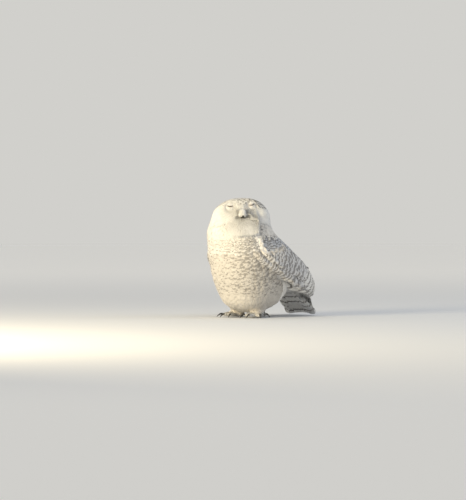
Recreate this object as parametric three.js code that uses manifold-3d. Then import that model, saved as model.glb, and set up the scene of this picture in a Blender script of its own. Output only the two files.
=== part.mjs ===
// A life-size snowy owl crouched on the ground: body low and fluffed, head turned over its left side, chin
// lifted and eyes narrowed to slits. Millimetres, +Z up, the owl faces -Y and its left side is +X. The origin
// is on the floor under the middle of the whole length. Each solid has the outline of the plumage itself.
import * as THREE from "three";
import { mergeVertices } from "three/addons/utils/BufferGeometryUtils.js";
import Module from "manifold-3d";

const wasm = await Module();
wasm.setup();

// ---- Driving dimensions ----

const GAP = 0.5; // room left between two neighbouring pieces
const SMOOTHED = 0.24; // how far a facet may be moved to save triangles
const SIDES = [-1, 1]; // the owl's right and left

const HEAD = {
  centre: [2, -38.5, 299.5],
  turn: 44, // degrees the face is turned to the owl's left of its breast
  lift: 20, // degrees the chin is raised
  tilt: 4, // degrees the crown leans to the owl's right
  halfWidth: 91,
  halfHeight: 70,
  front: 76,
  back: 86,
  squareness: 2.2, // 2 is an ellipsoid
};

// Soft swellings and hollows of the head: where, how wide, and how far out (or in, below zero).
const FACE_FORMS = [
  { at: [32, -66, 25], spread: 15, out: -6 }, // eye hollow
  { at: [27, -60, 50], spread: 14, out: 4 }, // brow
  { at: [44, -64, -4], spread: 20, out: -4 }, // dish of the cheek
  { at: [74, -36, -8], spread: 18, out: 4 }, // rim of the facial disc
  { at: [84, -8, -20], spread: 24, out: 3 }, // full cheek
  { at: [0, -80, -3], spread: 14, out: 6 }, // bristles round the bill
  { at: [0, -58, -48], spread: 22, out: 5 }, // chin
];

const EYE = {
  centre: [32, -52, 26],
  radius: 12.5,
  lidRadius: 14.6,
  slit: [23, 4.4], // length and height of the opening between the lids
  slant: 12, // degrees that the outer corner stands higher
};

// Rings of the neck and trunk from the belly up: height, centre, half width, reach to the front and back.
const BODY_RINGS = [
  { z: 14, y: 6, wide: 48, front: 46, back: 44 },
  { z: 45, y: 14, wide: 80, front: 84, back: 80 },
  { z: 85, y: 20, wide: 101, front: 110, back: 118 },
  { z: 125, y: 22, wide: 112, front: 130, back: 162 },
  { z: 165, y: 14, wide: 115, front: 131, back: 186 },
  { z: 205, y: -4, wide: 114, front: 121, back: 164 },
  { z: 240, y: -24, wide: 110, front: 103, back: 122 },
  { z: 268, y: -38, wide: 104, front: 92, back: 90 },
  { z: 292, y: -42, wide: 98, front: 86, back: 74 },
  { z: 312, y: -42, wide: 68, front: 64, back: 50 },
];
const BODY = { squareness: 2.3, endRound: 26, neckCut: 238, neckTilt: 9 };

// Each mass of folded feathers follows a spine; half is its half height and thick its half thickness.
const COVERTS = {
  spine: [[84, -84, 218], [108, -24, 198], [118, 45, 171], [111, 116, 147], [93, 186, 128]],
  half: [36, 48, 50, 44, 30],
  thick: [13, 18, 22, 21, 14],
};
const SECONDARIES = {
  spine: [[106, 0, 158], [116, 64, 142], [108, 132, 120], [89, 192, 99], [60, 238, 78]],
  half: [28, 42, 42, 34, 20],
  thick: [11, 16, 17, 14, 6],
};
const PRIMARIES = {
  count: 5,
  spine: [[118, 34, 120], [116, 92, 105], [101, 152, 88], [76, 208, 68], [44, 258, 42]],
  half: 9.5,
  thick: 3.2,
  fan: 6.5, // how far each feather stands above the one under it, at the root
  step: 17, // how much shorter each upper feather is
  lean: 1.6, // how far each upper feather lies inward
};
const RUMP = {
  spine: [[0, 84, 128], [0, 150, 124], [0, 200, 100], [0, 240, 54]],
  half: [66, 80, 66, 38],
  thick: [42, 50, 34, 11],
};
const TAIL = {
  count: 5,
  spine: [[0, 140, 122], [0, 196, 88], [0, 236, 47], [0, 268, 1.5]],
  half: 18,
  thick: 5,
  spread: [13, 20], // sideways step from one feather to the next, at the root and at the tip
  arch: 2.6, // how much each outer feather lies lower
};

const LEG = { x: 42, y: 2, bottom: 13, top: 84, wide: 30, deep: 36 };
const FOOT = {
  x: 42,
  y: -2,
  pad: [22, 27, 15],
  toeRadius: 11.5,
  toeHeight: 10.5,
  toes: [
    { turn: -16, reach: 44 },
    { turn: 9, reach: 47 },
    { turn: 46, reach: 40 },
    { turn: 172, reach: 26 },
  ],
};
const CLAW = { length: 25, radius: 3.6, tip: 0.5, bend: 62, clearance: 1.2 };

const UPPER_BILL = {
  spine: [[0, -64, 3], [0, -81, 3], [0, -89, -5], [0, -90, -20]],
  half: [8.5, 8, 6, 1.8],
  thick: [8, 7.5, 6, 1.3],
};
const LOWER_BILL = {
  spine: [[0, -60, -11], [0, -74, -13], [0, -82, -16]],
  half: [4, 3.6, 1.8],
  thick: [7, 6, 2],
};

// ---- Materials ----

const finish = (color, roughness) => new THREE.MeshStandardMaterial({ color, roughness, metalness: 0 });
const WHITE_DOWN = finish(0xf1eadb, 0.95);
const BARRED = finish(0xe4dccd, 0.9);
const FLIGHT = finish(0xd9d2c6, 0.8);
const HORN = finish(0x1d1a18, 0.35);
const IRIS = finish(0xe0a818, 0.1);

// ---- Making solids ----

const vec = (p) => new THREE.Vector3(...p);
const bent = (value, power) => Math.sign(value) * Math.abs(value) ** power;
const mirrored = (points, side) => points.map(([x, y, z]) => [x * side, y, z]);

// A unit ball with its poles on Z and its shared points merged, ready to be shaped.
function ball(sides, rings) {
  const geometry = new THREE.SphereGeometry(1, sides, rings).rotateX(Math.PI / 2);
  geometry.deleteAttribute("normal");
  geometry.deleteAttribute("uv");
  return mergeVertices(geometry, 1e-5);
}

function solidOf(geometry) {
  return new wasm.Manifold(
    new wasm.Mesh({
      numProp: 3,
      vertProperties: new Float32Array(geometry.getAttribute("position").array),
      triVerts: new Uint32Array(geometry.index.array),
    }),
  );
}

// The solid that a ball becomes when place() moves each of its points.
function shaped(geometry, place) {
  const points = geometry.getAttribute("position");
  const point = new THREE.Vector3();
  for (let i = 0; i < points.count; i++) {
    point.fromBufferAttribute(points, i);
    points.setXYZ(i, ...place(point).toArray());
  }
  return solidOf(geometry);
}

function mergedSolid(geometry) {
  geometry.deleteAttribute("normal");
  geometry.deleteAttribute("uv");
  return solidOf(mergeVertices(geometry, 1e-4));
}

function meshOf(solid, name, material) {
  const made = solid.simplify(SMOOTHED).getMesh();
  const geometry = new THREE.BufferGeometry();
  geometry.setAttribute("position", new THREE.BufferAttribute(made.vertProperties, 3));
  geometry.setIndex(new THREE.BufferAttribute(made.triVerts, 1));
  geometry.computeVertexNormals();
  const mesh = new THREE.Mesh(geometry, material);
  mesh.name = name;
  return mesh;
}

const without = (solid, ...others) => others.reduce((left, other) => left.subtract(other), solid);
const joined = (solids) => solids.reduce((all, one) => all.add(one));

// The largest of the bodies that a cut left, so that no crumb stays beside it.
const mainBody = (solid) => solid.decompose().reduce((a, b) => (b.volume() > a.volume() ? b : a));

// Smooth values between evenly numbered stations.
function along(values) {
  const curve = new THREE.CatmullRomCurve3(values.map((v) => vec(v)), false, "catmullrom", 0.5);
  return (t) => curve.getPoint(THREE.MathUtils.clamp(t, 0, 1));
}

// A feather mass or feather: ends are rounded, height lies across the spine and thickness along `flat`.
function leaf({ spine, half, thick }, { flat, sides = 20, rings = 14, grow = 0, blunt = 0.4 }) {
  const path = new THREE.CatmullRomCurve3(spine.map(vec), false, "catmullrom", 0.5);
  const size = along(half.map((h, i) => [h, thick[i], 0]));
  return shaped(ball(sides, rings), (v) => {
    const t = (1 + v.z) / 2;
    const tangent = path.getTangent(t);
    const out = flat.clone().addScaledVector(tangent, -flat.dot(tangent)).normalize();
    const up = out.clone().cross(tangent).normalize();
    const round = (1 - v.z * v.z) ** blunt;
    const angle = Math.atan2(v.y, v.x);
    const { x: high, y: deep } = size(t);
    return path
      .getPoint(t)
      .addScaledVector(up, Math.cos(angle) * (high * round + grow * Math.min(1, round * 2)))
      .addScaledVector(out, Math.sin(angle) * (deep * round + grow * Math.min(1, round * 2)))
      .addScaledVector(tangent, grow * v.z);
  });
}

// ---- Trunk and neck ----

function bodyLoft(grow) {
  const rings = along(BODY_RINGS.map((r) => [r.z, r.y, r.wide]));
  const reach = along(BODY_RINGS.map((r) => [r.front, r.back, 0]));
  const low = BODY_RINGS[0].z;
  const high = BODY_RINGS.at(-1).z;
  const roundEnd = (gap) => Math.sqrt(1 - (1 - Math.min(1, gap / BODY.endRound)) ** 2);
  return shaped(ball(28, 19), (v) => {
    const t = (1 + v.z) / 2;
    const ring = rings(t);
    const { x: front, y: back } = reach(t);
    const round = roundEnd(Math.max(0, Math.min(ring.x - low, high - ring.x)));
    const angle = Math.atan2(v.y, v.x);
    const across = bent(Math.cos(angle), 2 / BODY.squareness);
    const ahead = bent(Math.sin(angle), 2 / BODY.squareness);
    const depth = ahead < 0 ? front : back;
    return new THREE.Vector3(
      across * (ring.z * round + grow),
      ring.y + ahead * (depth * round + grow),
      ring.x + grow * v.z,
    );
  });
}

// The loft with the feathers over the root of the tail.
const upAndBack = new THREE.Vector3(0, 0.62, 0.78);
const body = (grow = 0) => bodyLoft(grow).add(leaf(RUMP, { flat: upAndBack, sides: 14, rings: 8, grow }));

// A slab whose top is the cut between trunk and neck, lowered by `lower`.
function belowNeckCut(lower) {
  const size = 800;
  const slab = new THREE.BoxGeometry(size, size, size).translate(0, 0, -size / 2 - lower);
  slab.rotateX(THREE.MathUtils.degToRad(BODY.neckTilt));
  return mergedSolid(slab.translate(0, 0, BODY.neckCut));
}

// ---- Head, eyes and bill, in the head's own frame and then set on the neck ----

const headPlace = new THREE.Matrix4()
  .makeTranslation(...HEAD.centre)
  .multiply(new THREE.Matrix4().makeRotationZ(THREE.MathUtils.degToRad(HEAD.turn)))
  .multiply(new THREE.Matrix4().makeRotationX(THREE.MathUtils.degToRad(-HEAD.lift)))
  .multiply(new THREE.Matrix4().makeRotationY(THREE.MathUtils.degToRad(-HEAD.tilt)));
const onNeck = (solid) => solid.transform(headPlace.toArray());

function headForm(grow = 0) {
  const half = new THREE.Vector3(HEAD.halfWidth, 1, HEAD.halfHeight);
  const forms = FACE_FORMS.flatMap((form) => (form.at[0] ? SIDES : [1]).map((side) => ({
    ...form,
    centre: new THREE.Vector3(form.at[0] * side, form.at[1], form.at[2]),
  })));
  return shaped(ball(34, 21), (v) => {
    const n = HEAD.squareness;
    const scale = (Math.abs(v.x) ** n + Math.abs(v.y) ** n + Math.abs(v.z) ** n) ** (-1 / n);
    const deep = v.y < 0 ? HEAD.front : HEAD.back;
    const point = new THREE.Vector3(v.x * half.x, v.y * deep, v.z * half.z).multiplyScalar(scale);
    let out = grow;
    for (const form of forms) {
      out += form.out * Math.exp(-point.distanceToSquared(form.centre) / (2 * form.spread ** 2));
    }
    return point.addScaledVector(point.clone().normalize(), out);
  });
}

const eyePlace = (side) => [EYE.centre[0] * side, EYE.centre[1], EYE.centre[2]];
const eyeBall = (side, radius) => {
  const centre = vec(eyePlace(side));
  return shaped(ball(12, 7), (v) => v.clone().multiplyScalar(radius).add(centre));
};

// The almond opening between the lids, cut straight forward from the eyeball.
function lidSlit(side) {
  const [long, high] = EYE.slit;
  const almond = new THREE.Shape();
  almond.moveTo(-long / 2, 0);
  almond.quadraticCurveTo(0, high, long / 2, 0);
  almond.quadraticCurveTo(0, -high, -long / 2, 0);
  const cut = new THREE.ExtrudeGeometry(almond, { depth: 60, bevelEnabled: false, curveSegments: 8 });
  cut.rotateX(Math.PI / 2);
  cut.rotateY(THREE.MathUtils.degToRad(-EYE.slant * side));
  return mergedSolid(cut.translate(...eyePlace(side)));
}

const acrossHead = new THREE.Vector3(1, 0, 0); // the way that a bill's thickness lies
const upperBill = (grow) => leaf(UPPER_BILL, { flat: acrossHead, sides: 10, rings: 8, grow, blunt: 0.3 });
const lowerBill = (grow) => leaf(LOWER_BILL, { flat: acrossHead, sides: 10, rings: 6, grow, blunt: 0.3 });

// ---- Wings and tail ----

const outward = (side) => new THREE.Vector3(side, 0.18, 0.3).normalize();
const onSide = (mass, side) => ({ ...mass, spine: mirrored(mass.spine, side) });
const coverts = (side, grow) =>
  leaf(onSide(COVERTS, side), { flat: outward(side), sides: 16, rings: 11, grow });
const secondaries = (side, grow) => (
  leaf(onSide(SECONDARIES, side), { flat: outward(side), sides: 14, rings: 9, grow, blunt: 0.34 })
);

// Folded primaries: long blades stacked like a closed fan, each upper one shorter.
function primaries(side, grow = 0) {
  const blades = [];
  for (let i = 0; i < PRIMARIES.count; i++) {
    const last = PRIMARIES.spine.length - 1;
    const spine = PRIMARIES.spine.map(([x, y, z], k) => {
      const tip = k / last;
      return [
        (x - i * PRIMARIES.lean * (1 - tip)) * side,
        y - i * PRIMARIES.step * tip,
        z + i * PRIMARIES.fan * (1 - 0.35 * tip),
      ];
    });
    const half = spine.map(() => PRIMARIES.half);
    const thick = spine.map(() => PRIMARIES.thick);
    blades.push(leaf({ spine, half, thick }, { flat: outward(side), sides: 6, rings: 7, grow, blunt: 0.3 }));
  }
  return joined(blades);
}

// Closed tail: overlapping blades side by side, the outer ones lower and a little shorter.
function tail(grow = 0) {
  const blades = [];
  const last = TAIL.spine.length - 1;
  for (let i = 0; i < TAIL.count; i++) {
    const place = i - (TAIL.count - 1) / 2;
    const spine = TAIL.spine.map(([, y, z], k) => {
      const step = THREE.MathUtils.lerp(TAIL.spread[0], TAIL.spread[1], k / last);
      const drop = TAIL.arch * place * place * (k / last < 1 ? 1 : 0.3);
      return [place * step, y - (k === last ? 0.8 * place * place : 0), z - drop];
    });
    const half = spine.map(() => TAIL.half);
    const thick = spine.map(() => TAIL.thick);
    const flat = new THREE.Vector3(0.12 * place, 0.6, 0.8).normalize();
    blades.push(leaf({ spine, half, thick }, { flat, sides: 6, rings: 7, grow, blunt: 0.28 }));
  }
  return joined(blades);
}

// ---- Legs, feet and claws ----

const floorSlab = () => mergedSolid(new THREE.BoxGeometry(800, 800, 200).translate(0, 0, -100));

function leg(side) {
  const middle = (LEG.top + LEG.bottom) / 2;
  const half = (LEG.top - LEG.bottom) / 2;
  return shaped(ball(12, 8), (v) => new THREE.Vector3(
    LEG.x * side + v.x * LEG.wide,
    LEG.y + v.y * LEG.deep,
    middle + v.z * half,
  ));
}

// A point of a toe that runs along -Y, turned and set on its foot.
const onFoot = (point, toe, side) => point
  .applyAxisAngle(new THREE.Vector3(0, 0, 1), THREE.MathUtils.degToRad(toe.turn * side))
  .add(vec([FOOT.x * side, FOOT.y, 0]));

function toeShape(toe, side, grow = 0) {
  return shaped(ball(7, 5), (v) => {
    const reach = (v.z + 1) / 2;
    const long = toe.reach + FOOT.toeRadius;
    const size = FOOT.toeRadius * (1.08 - 0.22 * reach) + grow;
    const high = (0.82 + v.y) * (FOOT.toeHeight + grow);
    return onFoot(new THREE.Vector3(v.x * size, -reach * long, high), toe, side);
  });
}

function foot(side, grow = 0) {
  const [wide, deep, high] = FOOT.pad.map((size) => size + grow);
  const centre = vec([FOOT.x * side, FOOT.y, FOOT.pad[2] * 0.8]);
  const pad = shaped(ball(9, 6), (v) => new THREE.Vector3(v.x * wide, v.y * deep, v.z * high).add(centre));
  const toes = FOOT.toes.map((toe) => toeShape(toe, side, grow));
  return joined([pad, ...toes]).subtract(floorSlab());
}

// A claw curves down and forward from inside the end of its toe, and stops just above the floor.
function claw(toe, side, grow = 0) {
  const bend = THREE.MathUtils.degToRad(CLAW.bend);
  const radius = CLAW.length / bend;
  const start = vec([0, -(toe.reach + FOOT.toeRadius * 0.35), FOOT.toeHeight * 1.12]);
  return shaped(ball(5, 5), (v) => {
    const t = (v.z + 1) / 2;
    const angle = t * bend;
    const size = (THREE.MathUtils.lerp(CLAW.radius, CLAW.tip, t ** 1.3) + grow) * (1 - v.z * v.z) ** 0.25;
    const around = Math.atan2(v.y, v.x);
    const rise = radius * (Math.cos(angle) - 1) + Math.sin(around) * size * Math.cos(angle);
    const run = radius * Math.sin(angle) + Math.sin(around) * size * Math.sin(angle);
    const point = new THREE.Vector3(Math.cos(around) * size, -run, rise).add(start);
    point.z = Math.max(point.z, CLAW.clearance - grow);
    return onFoot(point, toe, side);
  });
}

// ---- Putting the owl together ----

const owl = new THREE.Group();
const add = (solid, name, material) => owl.add(meshOf(mainBody(solid), name, material));

const headOuter = onNeck(headForm(GAP));
const bodyOuter = body(GAP);
const tailSolid = without(tail(), bodyOuter, floorSlab());
const tailOuter = tail(GAP);

let headSolid = headForm();
for (const side of SIDES) {
  headSolid = headSolid.add(eyeBall(side, EYE.lidRadius));
}
for (const side of SIDES) {
  headSolid = without(headSolid, eyeBall(side, EYE.radius + GAP), lidSlit(side));
}
headSolid = without(headSolid, upperBill(GAP), lowerBill(GAP));
add(onNeck(headSolid), "head", WHITE_DOWN);
add(onNeck(upperBill(0)), "bill_upper", HORN);
add(onNeck(lowerBill(0).subtract(upperBill(GAP))), "bill_lower", HORN);

const lidsOuter = joined(SIDES.map((side) => eyeBall(side, EYE.lidRadius + GAP)));
const neckSolid = without(body(), belowNeckCut(0), headOuter, onNeck(lidsOuter), onNeck(upperBill(GAP)));
add(neckSolid, "neck", WHITE_DOWN);
const trunkSolid = without(body().intersect(belowNeckCut(GAP)), headOuter);
add(trunkSolid, "trunk", BARRED);
add(tailSolid, "tail", FLIGHT);

for (const side of SIDES) {
  const name = side < 0 ? "right" : "left";
  add(onNeck(eyeBall(side, EYE.radius)), `eye_${name}`, IRIS);

  const inner = [bodyOuter, headOuter];
  const covertsOuter = coverts(side, GAP);
  const secondariesOuter = secondaries(side, GAP);
  add(without(coverts(side, 0), ...inner), `wing_${name}_coverts`, BARRED);
  add(without(secondaries(side, 0), ...inner, covertsOuter, tailOuter), `wing_${name}_secondaries`, FLIGHT);
  add(
    without(primaries(side), ...inner, covertsOuter, secondariesOuter, tailOuter),
    `wing_${name}_primaries`,
    FLIGHT,
  );

  const claws = FOOT.toes.map((toe) => claw(toe, side));
  const clawsOuter = FOOT.toes.map((toe) => claw(toe, side, GAP));
  add(without(foot(side), bodyOuter, ...clawsOuter), `foot_${name}`, WHITE_DOWN);
  add(without(leg(side), bodyOuter, foot(side, GAP)), `leg_${name}`, WHITE_DOWN);
  claws.forEach((one, i) => add(one, `claw_${name}_${i + 1}`, HORN));
}

// The origin goes under the middle of the owl's length, on the floor.
const extent = new THREE.Box3().setFromObject(owl);
owl.position.y = -(extent.min.y + extent.max.y) / 2;

export default owl;
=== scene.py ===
# A life-size snowy owl crouched on a plain floor: one skin under a coat of mesh feathers, round the solids
# of the frame. Metres, +Z up, the breast faces -Y and the owl's left side is +X.
import math

import bmesh
import bpy
import numpy as np
from mathutils import Matrix, Vector
from mathutils.bvhtree import BVHTree
from mathutils.kdtree import KDTree


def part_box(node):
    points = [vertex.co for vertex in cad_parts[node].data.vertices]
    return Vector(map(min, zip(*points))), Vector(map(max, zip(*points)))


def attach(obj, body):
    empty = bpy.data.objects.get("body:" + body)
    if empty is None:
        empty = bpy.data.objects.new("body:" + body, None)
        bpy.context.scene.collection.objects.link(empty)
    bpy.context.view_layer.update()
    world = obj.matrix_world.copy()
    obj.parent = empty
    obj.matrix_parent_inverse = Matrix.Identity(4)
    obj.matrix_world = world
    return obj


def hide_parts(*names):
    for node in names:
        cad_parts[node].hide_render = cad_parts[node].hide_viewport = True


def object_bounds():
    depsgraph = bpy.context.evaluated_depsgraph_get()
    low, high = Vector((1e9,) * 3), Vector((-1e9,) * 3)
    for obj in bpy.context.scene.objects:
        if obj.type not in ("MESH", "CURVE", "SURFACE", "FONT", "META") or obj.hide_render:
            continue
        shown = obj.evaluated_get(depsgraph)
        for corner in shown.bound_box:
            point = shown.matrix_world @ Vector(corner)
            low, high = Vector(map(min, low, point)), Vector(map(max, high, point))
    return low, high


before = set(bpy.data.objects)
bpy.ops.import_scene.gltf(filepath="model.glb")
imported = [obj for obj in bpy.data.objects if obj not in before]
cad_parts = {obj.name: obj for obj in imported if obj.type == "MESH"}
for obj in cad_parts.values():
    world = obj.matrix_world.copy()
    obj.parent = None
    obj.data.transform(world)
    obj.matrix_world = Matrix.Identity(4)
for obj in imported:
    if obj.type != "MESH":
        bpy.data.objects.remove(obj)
cad_low, cad_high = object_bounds()

# ---- Camera ----
# A very long lens, far off and just above the level of the owl, on its left front.

VIEW_TURN = math.radians(40)
VIEW_RISE = math.radians(1.5)
VIEW_FAR = 15.0
VIEW_SPAN = 1.55  # what the long side of the picture takes in, at the owl
VIEW_MIDDLE = Vector((-0.0356, -0.0986, 0.209))

away = Vector((
    math.sin(VIEW_TURN) * math.cos(VIEW_RISE),
    -math.cos(VIEW_TURN) * math.cos(VIEW_RISE),
    math.sin(VIEW_RISE),
))
camera = bpy.data.objects.new("camera", bpy.data.cameras.new("camera"))
bpy.context.scene.collection.objects.link(camera)
camera.data.sensor_width = 36.0
camera.data.lens = camera.data.sensor_width * VIEW_FAR / VIEW_SPAN
camera.data.clip_end = 60.0
camera.location = VIEW_MIDDLE + away * VIEW_FAR
camera.rotation_mode = "QUATERNION"
camera.rotation_quaternion = away.to_track_quat("Z", "Y")
bpy.context.scene.camera = camera

# ---- Plumage outline ----
# The outside of the living bird is the line that its feather tips reach. The solids of head, neck, trunk,
# wings, tail, legs and feet, run together as one smooth closed surface, give that line; it isn't shown.

HARD = ("eye", "bill", "claw")
FLESH = sorted(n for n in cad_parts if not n.startswith(HARD) and "primaries" not in n)
OUTLINE_GRAIN = 0.003
OUTLINE_SMOOTHING = 10
GAP_CLOSED = 0.007
NODE_REACH = 0.03  # how far from a place its node is looked for


def linked(name, mesh):
    obj = bpy.data.objects.new(name, mesh)
    bpy.context.scene.collection.objects.link(obj)
    return obj


def unit(vectors):
    return vectors / np.maximum(np.linalg.norm(vectors, axis=-1, keepdims=True), 1e-12)


def smoothstep(low, high, value):
    t = np.clip((value - low) / (high - low), 0.0, 1.0)
    return t * t * (3 - 2 * t)


class Surface:
    """A mesh as arrays, with ways to find the nearest place on it and where a ray meets it."""

    def __init__(self, mesh):
        self.co = np.empty((len(mesh.vertices), 3))
        mesh.vertices.foreach_get("co", self.co.ravel())
        mesh.calc_loop_triangles()
        self.tris = np.empty((len(mesh.loop_triangles), 3), int)
        mesh.loop_triangles.foreach_get("vertices", self.tris.ravel())
        corners = self.co[self.tris]
        cross = np.cross(corners[:, 1] - corners[:, 0], corners[:, 2] - corners[:, 0])
        self.areas = np.linalg.norm(cross, axis=1) / 2
        self.normals = np.zeros_like(self.co)
        for corner in range(3):
            np.add.at(self.normals, self.tris[:, corner], cross)
        self.normals = unit(self.normals)
        self.tree = BVHTree.FromPolygons(self.co.tolist(), self.tris.tolist())

    def even_normals(self, places, faces):
        gaps = np.linalg.norm(self.co[self.tris[faces]] - places[:, None], axis=2)
        return unit((self.normals[self.tris[faces]] / (gaps + 1e-4)[:, :, None]).sum(1))

    def nearest(self, points):
        found = [self.tree.find_nearest(p) for p in points.tolist()]
        places = np.array([f[0][:] for f in found])
        return places, self.even_normals(places, np.array([f[2] for f in found]))

    def struck(self, points, ways):
        """Where rays from the points along the ways meet the surface, and nan where they miss it."""
        found = [self.tree.ray_cast(p, w) for p, w in zip(points.tolist(), ways.tolist())]
        hit = np.array([f[0] is not None for f in found])
        places, normals = np.full(points.shape, np.nan), np.full(points.shape, np.nan)
        if hit.any():
            places[hit] = [f[0][:] for f in found if f[0] is not None]
            normals[hit] = self.even_normals(places[hit], np.array([f[2] for f in found if f[0] is not None]))
        return places, normals, hit


def tree_of(points):
    tree = KDTree(len(points))
    for i, p in enumerate(points.tolist()):
        tree.insert(p, i)
    tree.balance()
    return tree


def gap_to(points, others):
    tree = tree_of(others)
    return np.array([tree.find(p)[2] for p in points.tolist()])


def joined_mesh(name, meshes):
    shell = bmesh.new()
    for mesh in meshes:
        shell.from_mesh(mesh)
    bmesh.ops.remove_doubles(shell, verts=shell.verts, dist=1e-6)
    mesh = bpy.data.meshes.new(name)
    shell.to_mesh(mesh)
    shell.free()
    return mesh


def reshaped(obj, *steps):
    """Runs modifiers over an object and keeps their result as its plain mesh."""
    for kind, settings in steps:
        modifier = obj.modifiers.new(kind.lower(), kind)
        for setting, value in settings.items():
            setattr(modifier, setting, value)
    bpy.context.view_layer.update()
    plain = bpy.data.meshes.new_from_object(obj.evaluated_get(bpy.context.evaluated_depsgraph_get()))
    obj.modifiers.clear()
    obj.data = plain


# Swelling and then shrinking the body closes the narrow gaps beside the folded wings, but not between toes.
voxels = ("REMESH", {"mode": "VOXEL", "voxel_size": OUTLINE_GRAIN})
toes = [n for n in FLESH if n.startswith(("foot", "leg"))]
skin = linked("skin", joined_mesh("body", [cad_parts[n].data for n in FLESH if n not in toes]))
reshaped(skin, voxels, ("DISPLACE", {"strength": GAP_CLOSED, "mid_level": 0.0}), voxels,
         ("DISPLACE", {"strength": -GAP_CLOSED, "mid_level": 0.0}))
skin.data = joined_mesh("skin", [skin.data] + [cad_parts[n].data for n in toes])
reshaped(skin, voxels, ("SMOOTH", {"iterations": OUTLINE_SMOOTHING, "factor": 0.5}))
skin.data.name = "skin"
plumage = Surface(skin.data)

node_trees = {}
for node in FLESH:
    node_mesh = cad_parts[node].data
    node_trees[node] = BVHTree.FromPolygons(
        [v.co[:] for v in node_mesh.vertices], [p.vertices[:] for p in node_mesh.polygons]
    )


def parts_at(points):
    """The name of the part of the body that each point belongs to."""
    gaps = np.ones((len(node_trees), len(points)))
    for row, tree in enumerate(node_trees.values()):
        for column, p in enumerate(points.tolist()):
            found = tree.find_nearest(p, NODE_REACH)
            if found[0] is not None:
                gaps[row, column] = found[3]
    return np.array(list(node_trees))[gaps.argmin(0)]


plumage_parts = parts_at(plumage.co)
edges = np.unique(np.sort(plumage.tris[:, [0, 1, 1, 2, 2, 0]].reshape(-1, 2), axis=1), axis=0)
degree = np.bincount(edges.ravel(), minlength=len(plumage.co))


def outline_moved(co):
    """The outline with its corners at new places."""
    skin.data.vertices.foreach_set("co", co.ravel())
    skin.data.update()
    return Surface(skin.data)


def average_around(values):
    """The mean of the values at the corners next to each corner of the outline."""
    total = np.zeros_like(values)
    np.add.at(total, edges[:, 0], values[edges[:, 1]])
    np.add.at(total, edges[:, 1], values[edges[:, 0]])
    return total / degree.reshape((-1,) + (1,) * (values.ndim - 1))


# The creases where head, neck, trunk and legs meet close up, as loose feathers hide them in life. Each row
# ends with how far from the crease the outline is smoothed, and in how many passes.
SEAMS = [("head", "neck", 0.034, 95), ("neck", "trunk", 0.024, 40), ("head", "trunk", 0.030, 60),
         ("leg_left", "trunk", 0.012, 12), ("leg_right", "trunk", 0.012, 12)]
evened = plumage.co.copy()
for first, second, reach, passes in SEAMS:
    ends = plumage_parts[edges]
    seam = edges[((ends == first).any(1)) & ((ends == second).any(1))].ravel()
    if not len(seam):
        continue
    weight = 0.6 * smoothstep(reach, reach * 0.4, gap_to(evened, evened[seam]))[:, None]
    for _ in range(passes):
        evened += weight * (average_around(evened) - evened)
plumage = outline_moved(evened)

# The folded wing stands out from the breast: a ridge runs down its wrist and back along its lower edge, with
# a groove in front of it and under it.
WING_EDGE = np.array([(-143, 262), (-137, 243), (-124, 205), (-109, 181), (-88, 166), (-48, 149), (0, 134),
                      (50, 112)]) / 1000  # Y and Z, as seen from the side
RIDGE, RIDGE_IN, RIDGE_WIDE = 0.0028, 0.0060, 0.0065
GROOVE, GROOVE_OUT, GROOVE_WIDE = 0.0050, 0.0055, 0.0060
WIDEST = cad_high[0] - 0.0024  # half the width that the wings' widest place is pressed in to
PRESSED_OVER = 0.006


def from_wing_edge(points):
    """How far each point lies inside the wing's edge (or outside, below zero), as seen from the side."""
    flat = points[:, 1:]
    best = np.full(len(flat), 1.0)
    signed = np.full(len(flat), 1.0)
    for a, b in zip(WING_EDGE[:-1], WING_EDGE[1:]):
        along = b - a
        share = np.clip((flat - a) @ along / (along @ along), 0, 1)
        offset = flat - (a + share[:, None] * along)
        gap = np.linalg.norm(offset, axis=1)
        inside = np.sign(along[0] * offset[:, 1] - along[1] * offset[:, 0])
        signed = np.where(gap < best, inside * gap, signed)
        best = np.minimum(best, gap)
    return signed


x, y, z = plumage.co.T
inside = from_wing_edge(plumage.co)
fades = smoothstep(0.264, 0.238, z) * smoothstep(0.06, 0.02, y)
fades = fades * np.where(x < 0, smoothstep(-0.105, -0.080, y), 1)  # less far forward on the right wing
fades = fades * smoothstep(0.045, 0.075, np.abs(x))
fades = fades * smoothstep(0.2, 0.6, np.abs(plumage.normals[:, 0]))
shallower = 1 - 0.8 * smoothstep(0.198, 0.215, z)
relief = RIDGE * np.exp(-((inside - RIDGE_IN) / RIDGE_WIDE) ** 2)
relief -= GROOVE * shallower * np.exp(-((inside + GROOVE_OUT) / GROOVE_WIDE) ** 2)
edged = plumage.co + plumage.normals * (relief * fades)[:, None]
over = np.abs(edged[:, 0]) - (WIDEST - PRESSED_OVER)
pressed = np.sign(edged[:, 0]) * (WIDEST - PRESSED_OVER * np.exp(-over / PRESSED_OVER))
edged[:, 0] = np.where(over > 0, pressed, edged[:, 0])
plumage = outline_moved(edged)

# ---- Head, its own frame ----
# The head is turned over the owl's left side, with the chin lifted and the crown leaning a little.

HEAD_TURN = math.radians(44)
HEAD_LIFT = math.radians(20)
HEAD_TILT = math.radians(4)
EYE_PLACE = np.array([0.032, -0.052, 0.026])  # the left eye, in the head's frame
EYE_RADIUS = 0.0125

HEAD_AXES = np.array(
    Matrix.Rotation(HEAD_TURN, 3, "Z")
    @ Matrix.Rotation(-HEAD_LIFT, 3, "X")
    @ Matrix.Rotation(-HEAD_TILT, 3, "Y")
)


def box_middle(node):
    low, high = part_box(node)
    return np.array((low + high) / 2)


EYES = {side: box_middle(f"eye_{side}") for side in ("left", "right")}
HEAD_CENTRE = (EYES["left"] + EYES["right"]) / 2 - HEAD_AXES @ (EYE_PLACE * (0, 1, 1))


def in_head(points):
    return (points - HEAD_CENTRE) @ HEAD_AXES


def from_head(points):
    return points @ HEAD_AXES.T + HEAD_CENTRE


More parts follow.
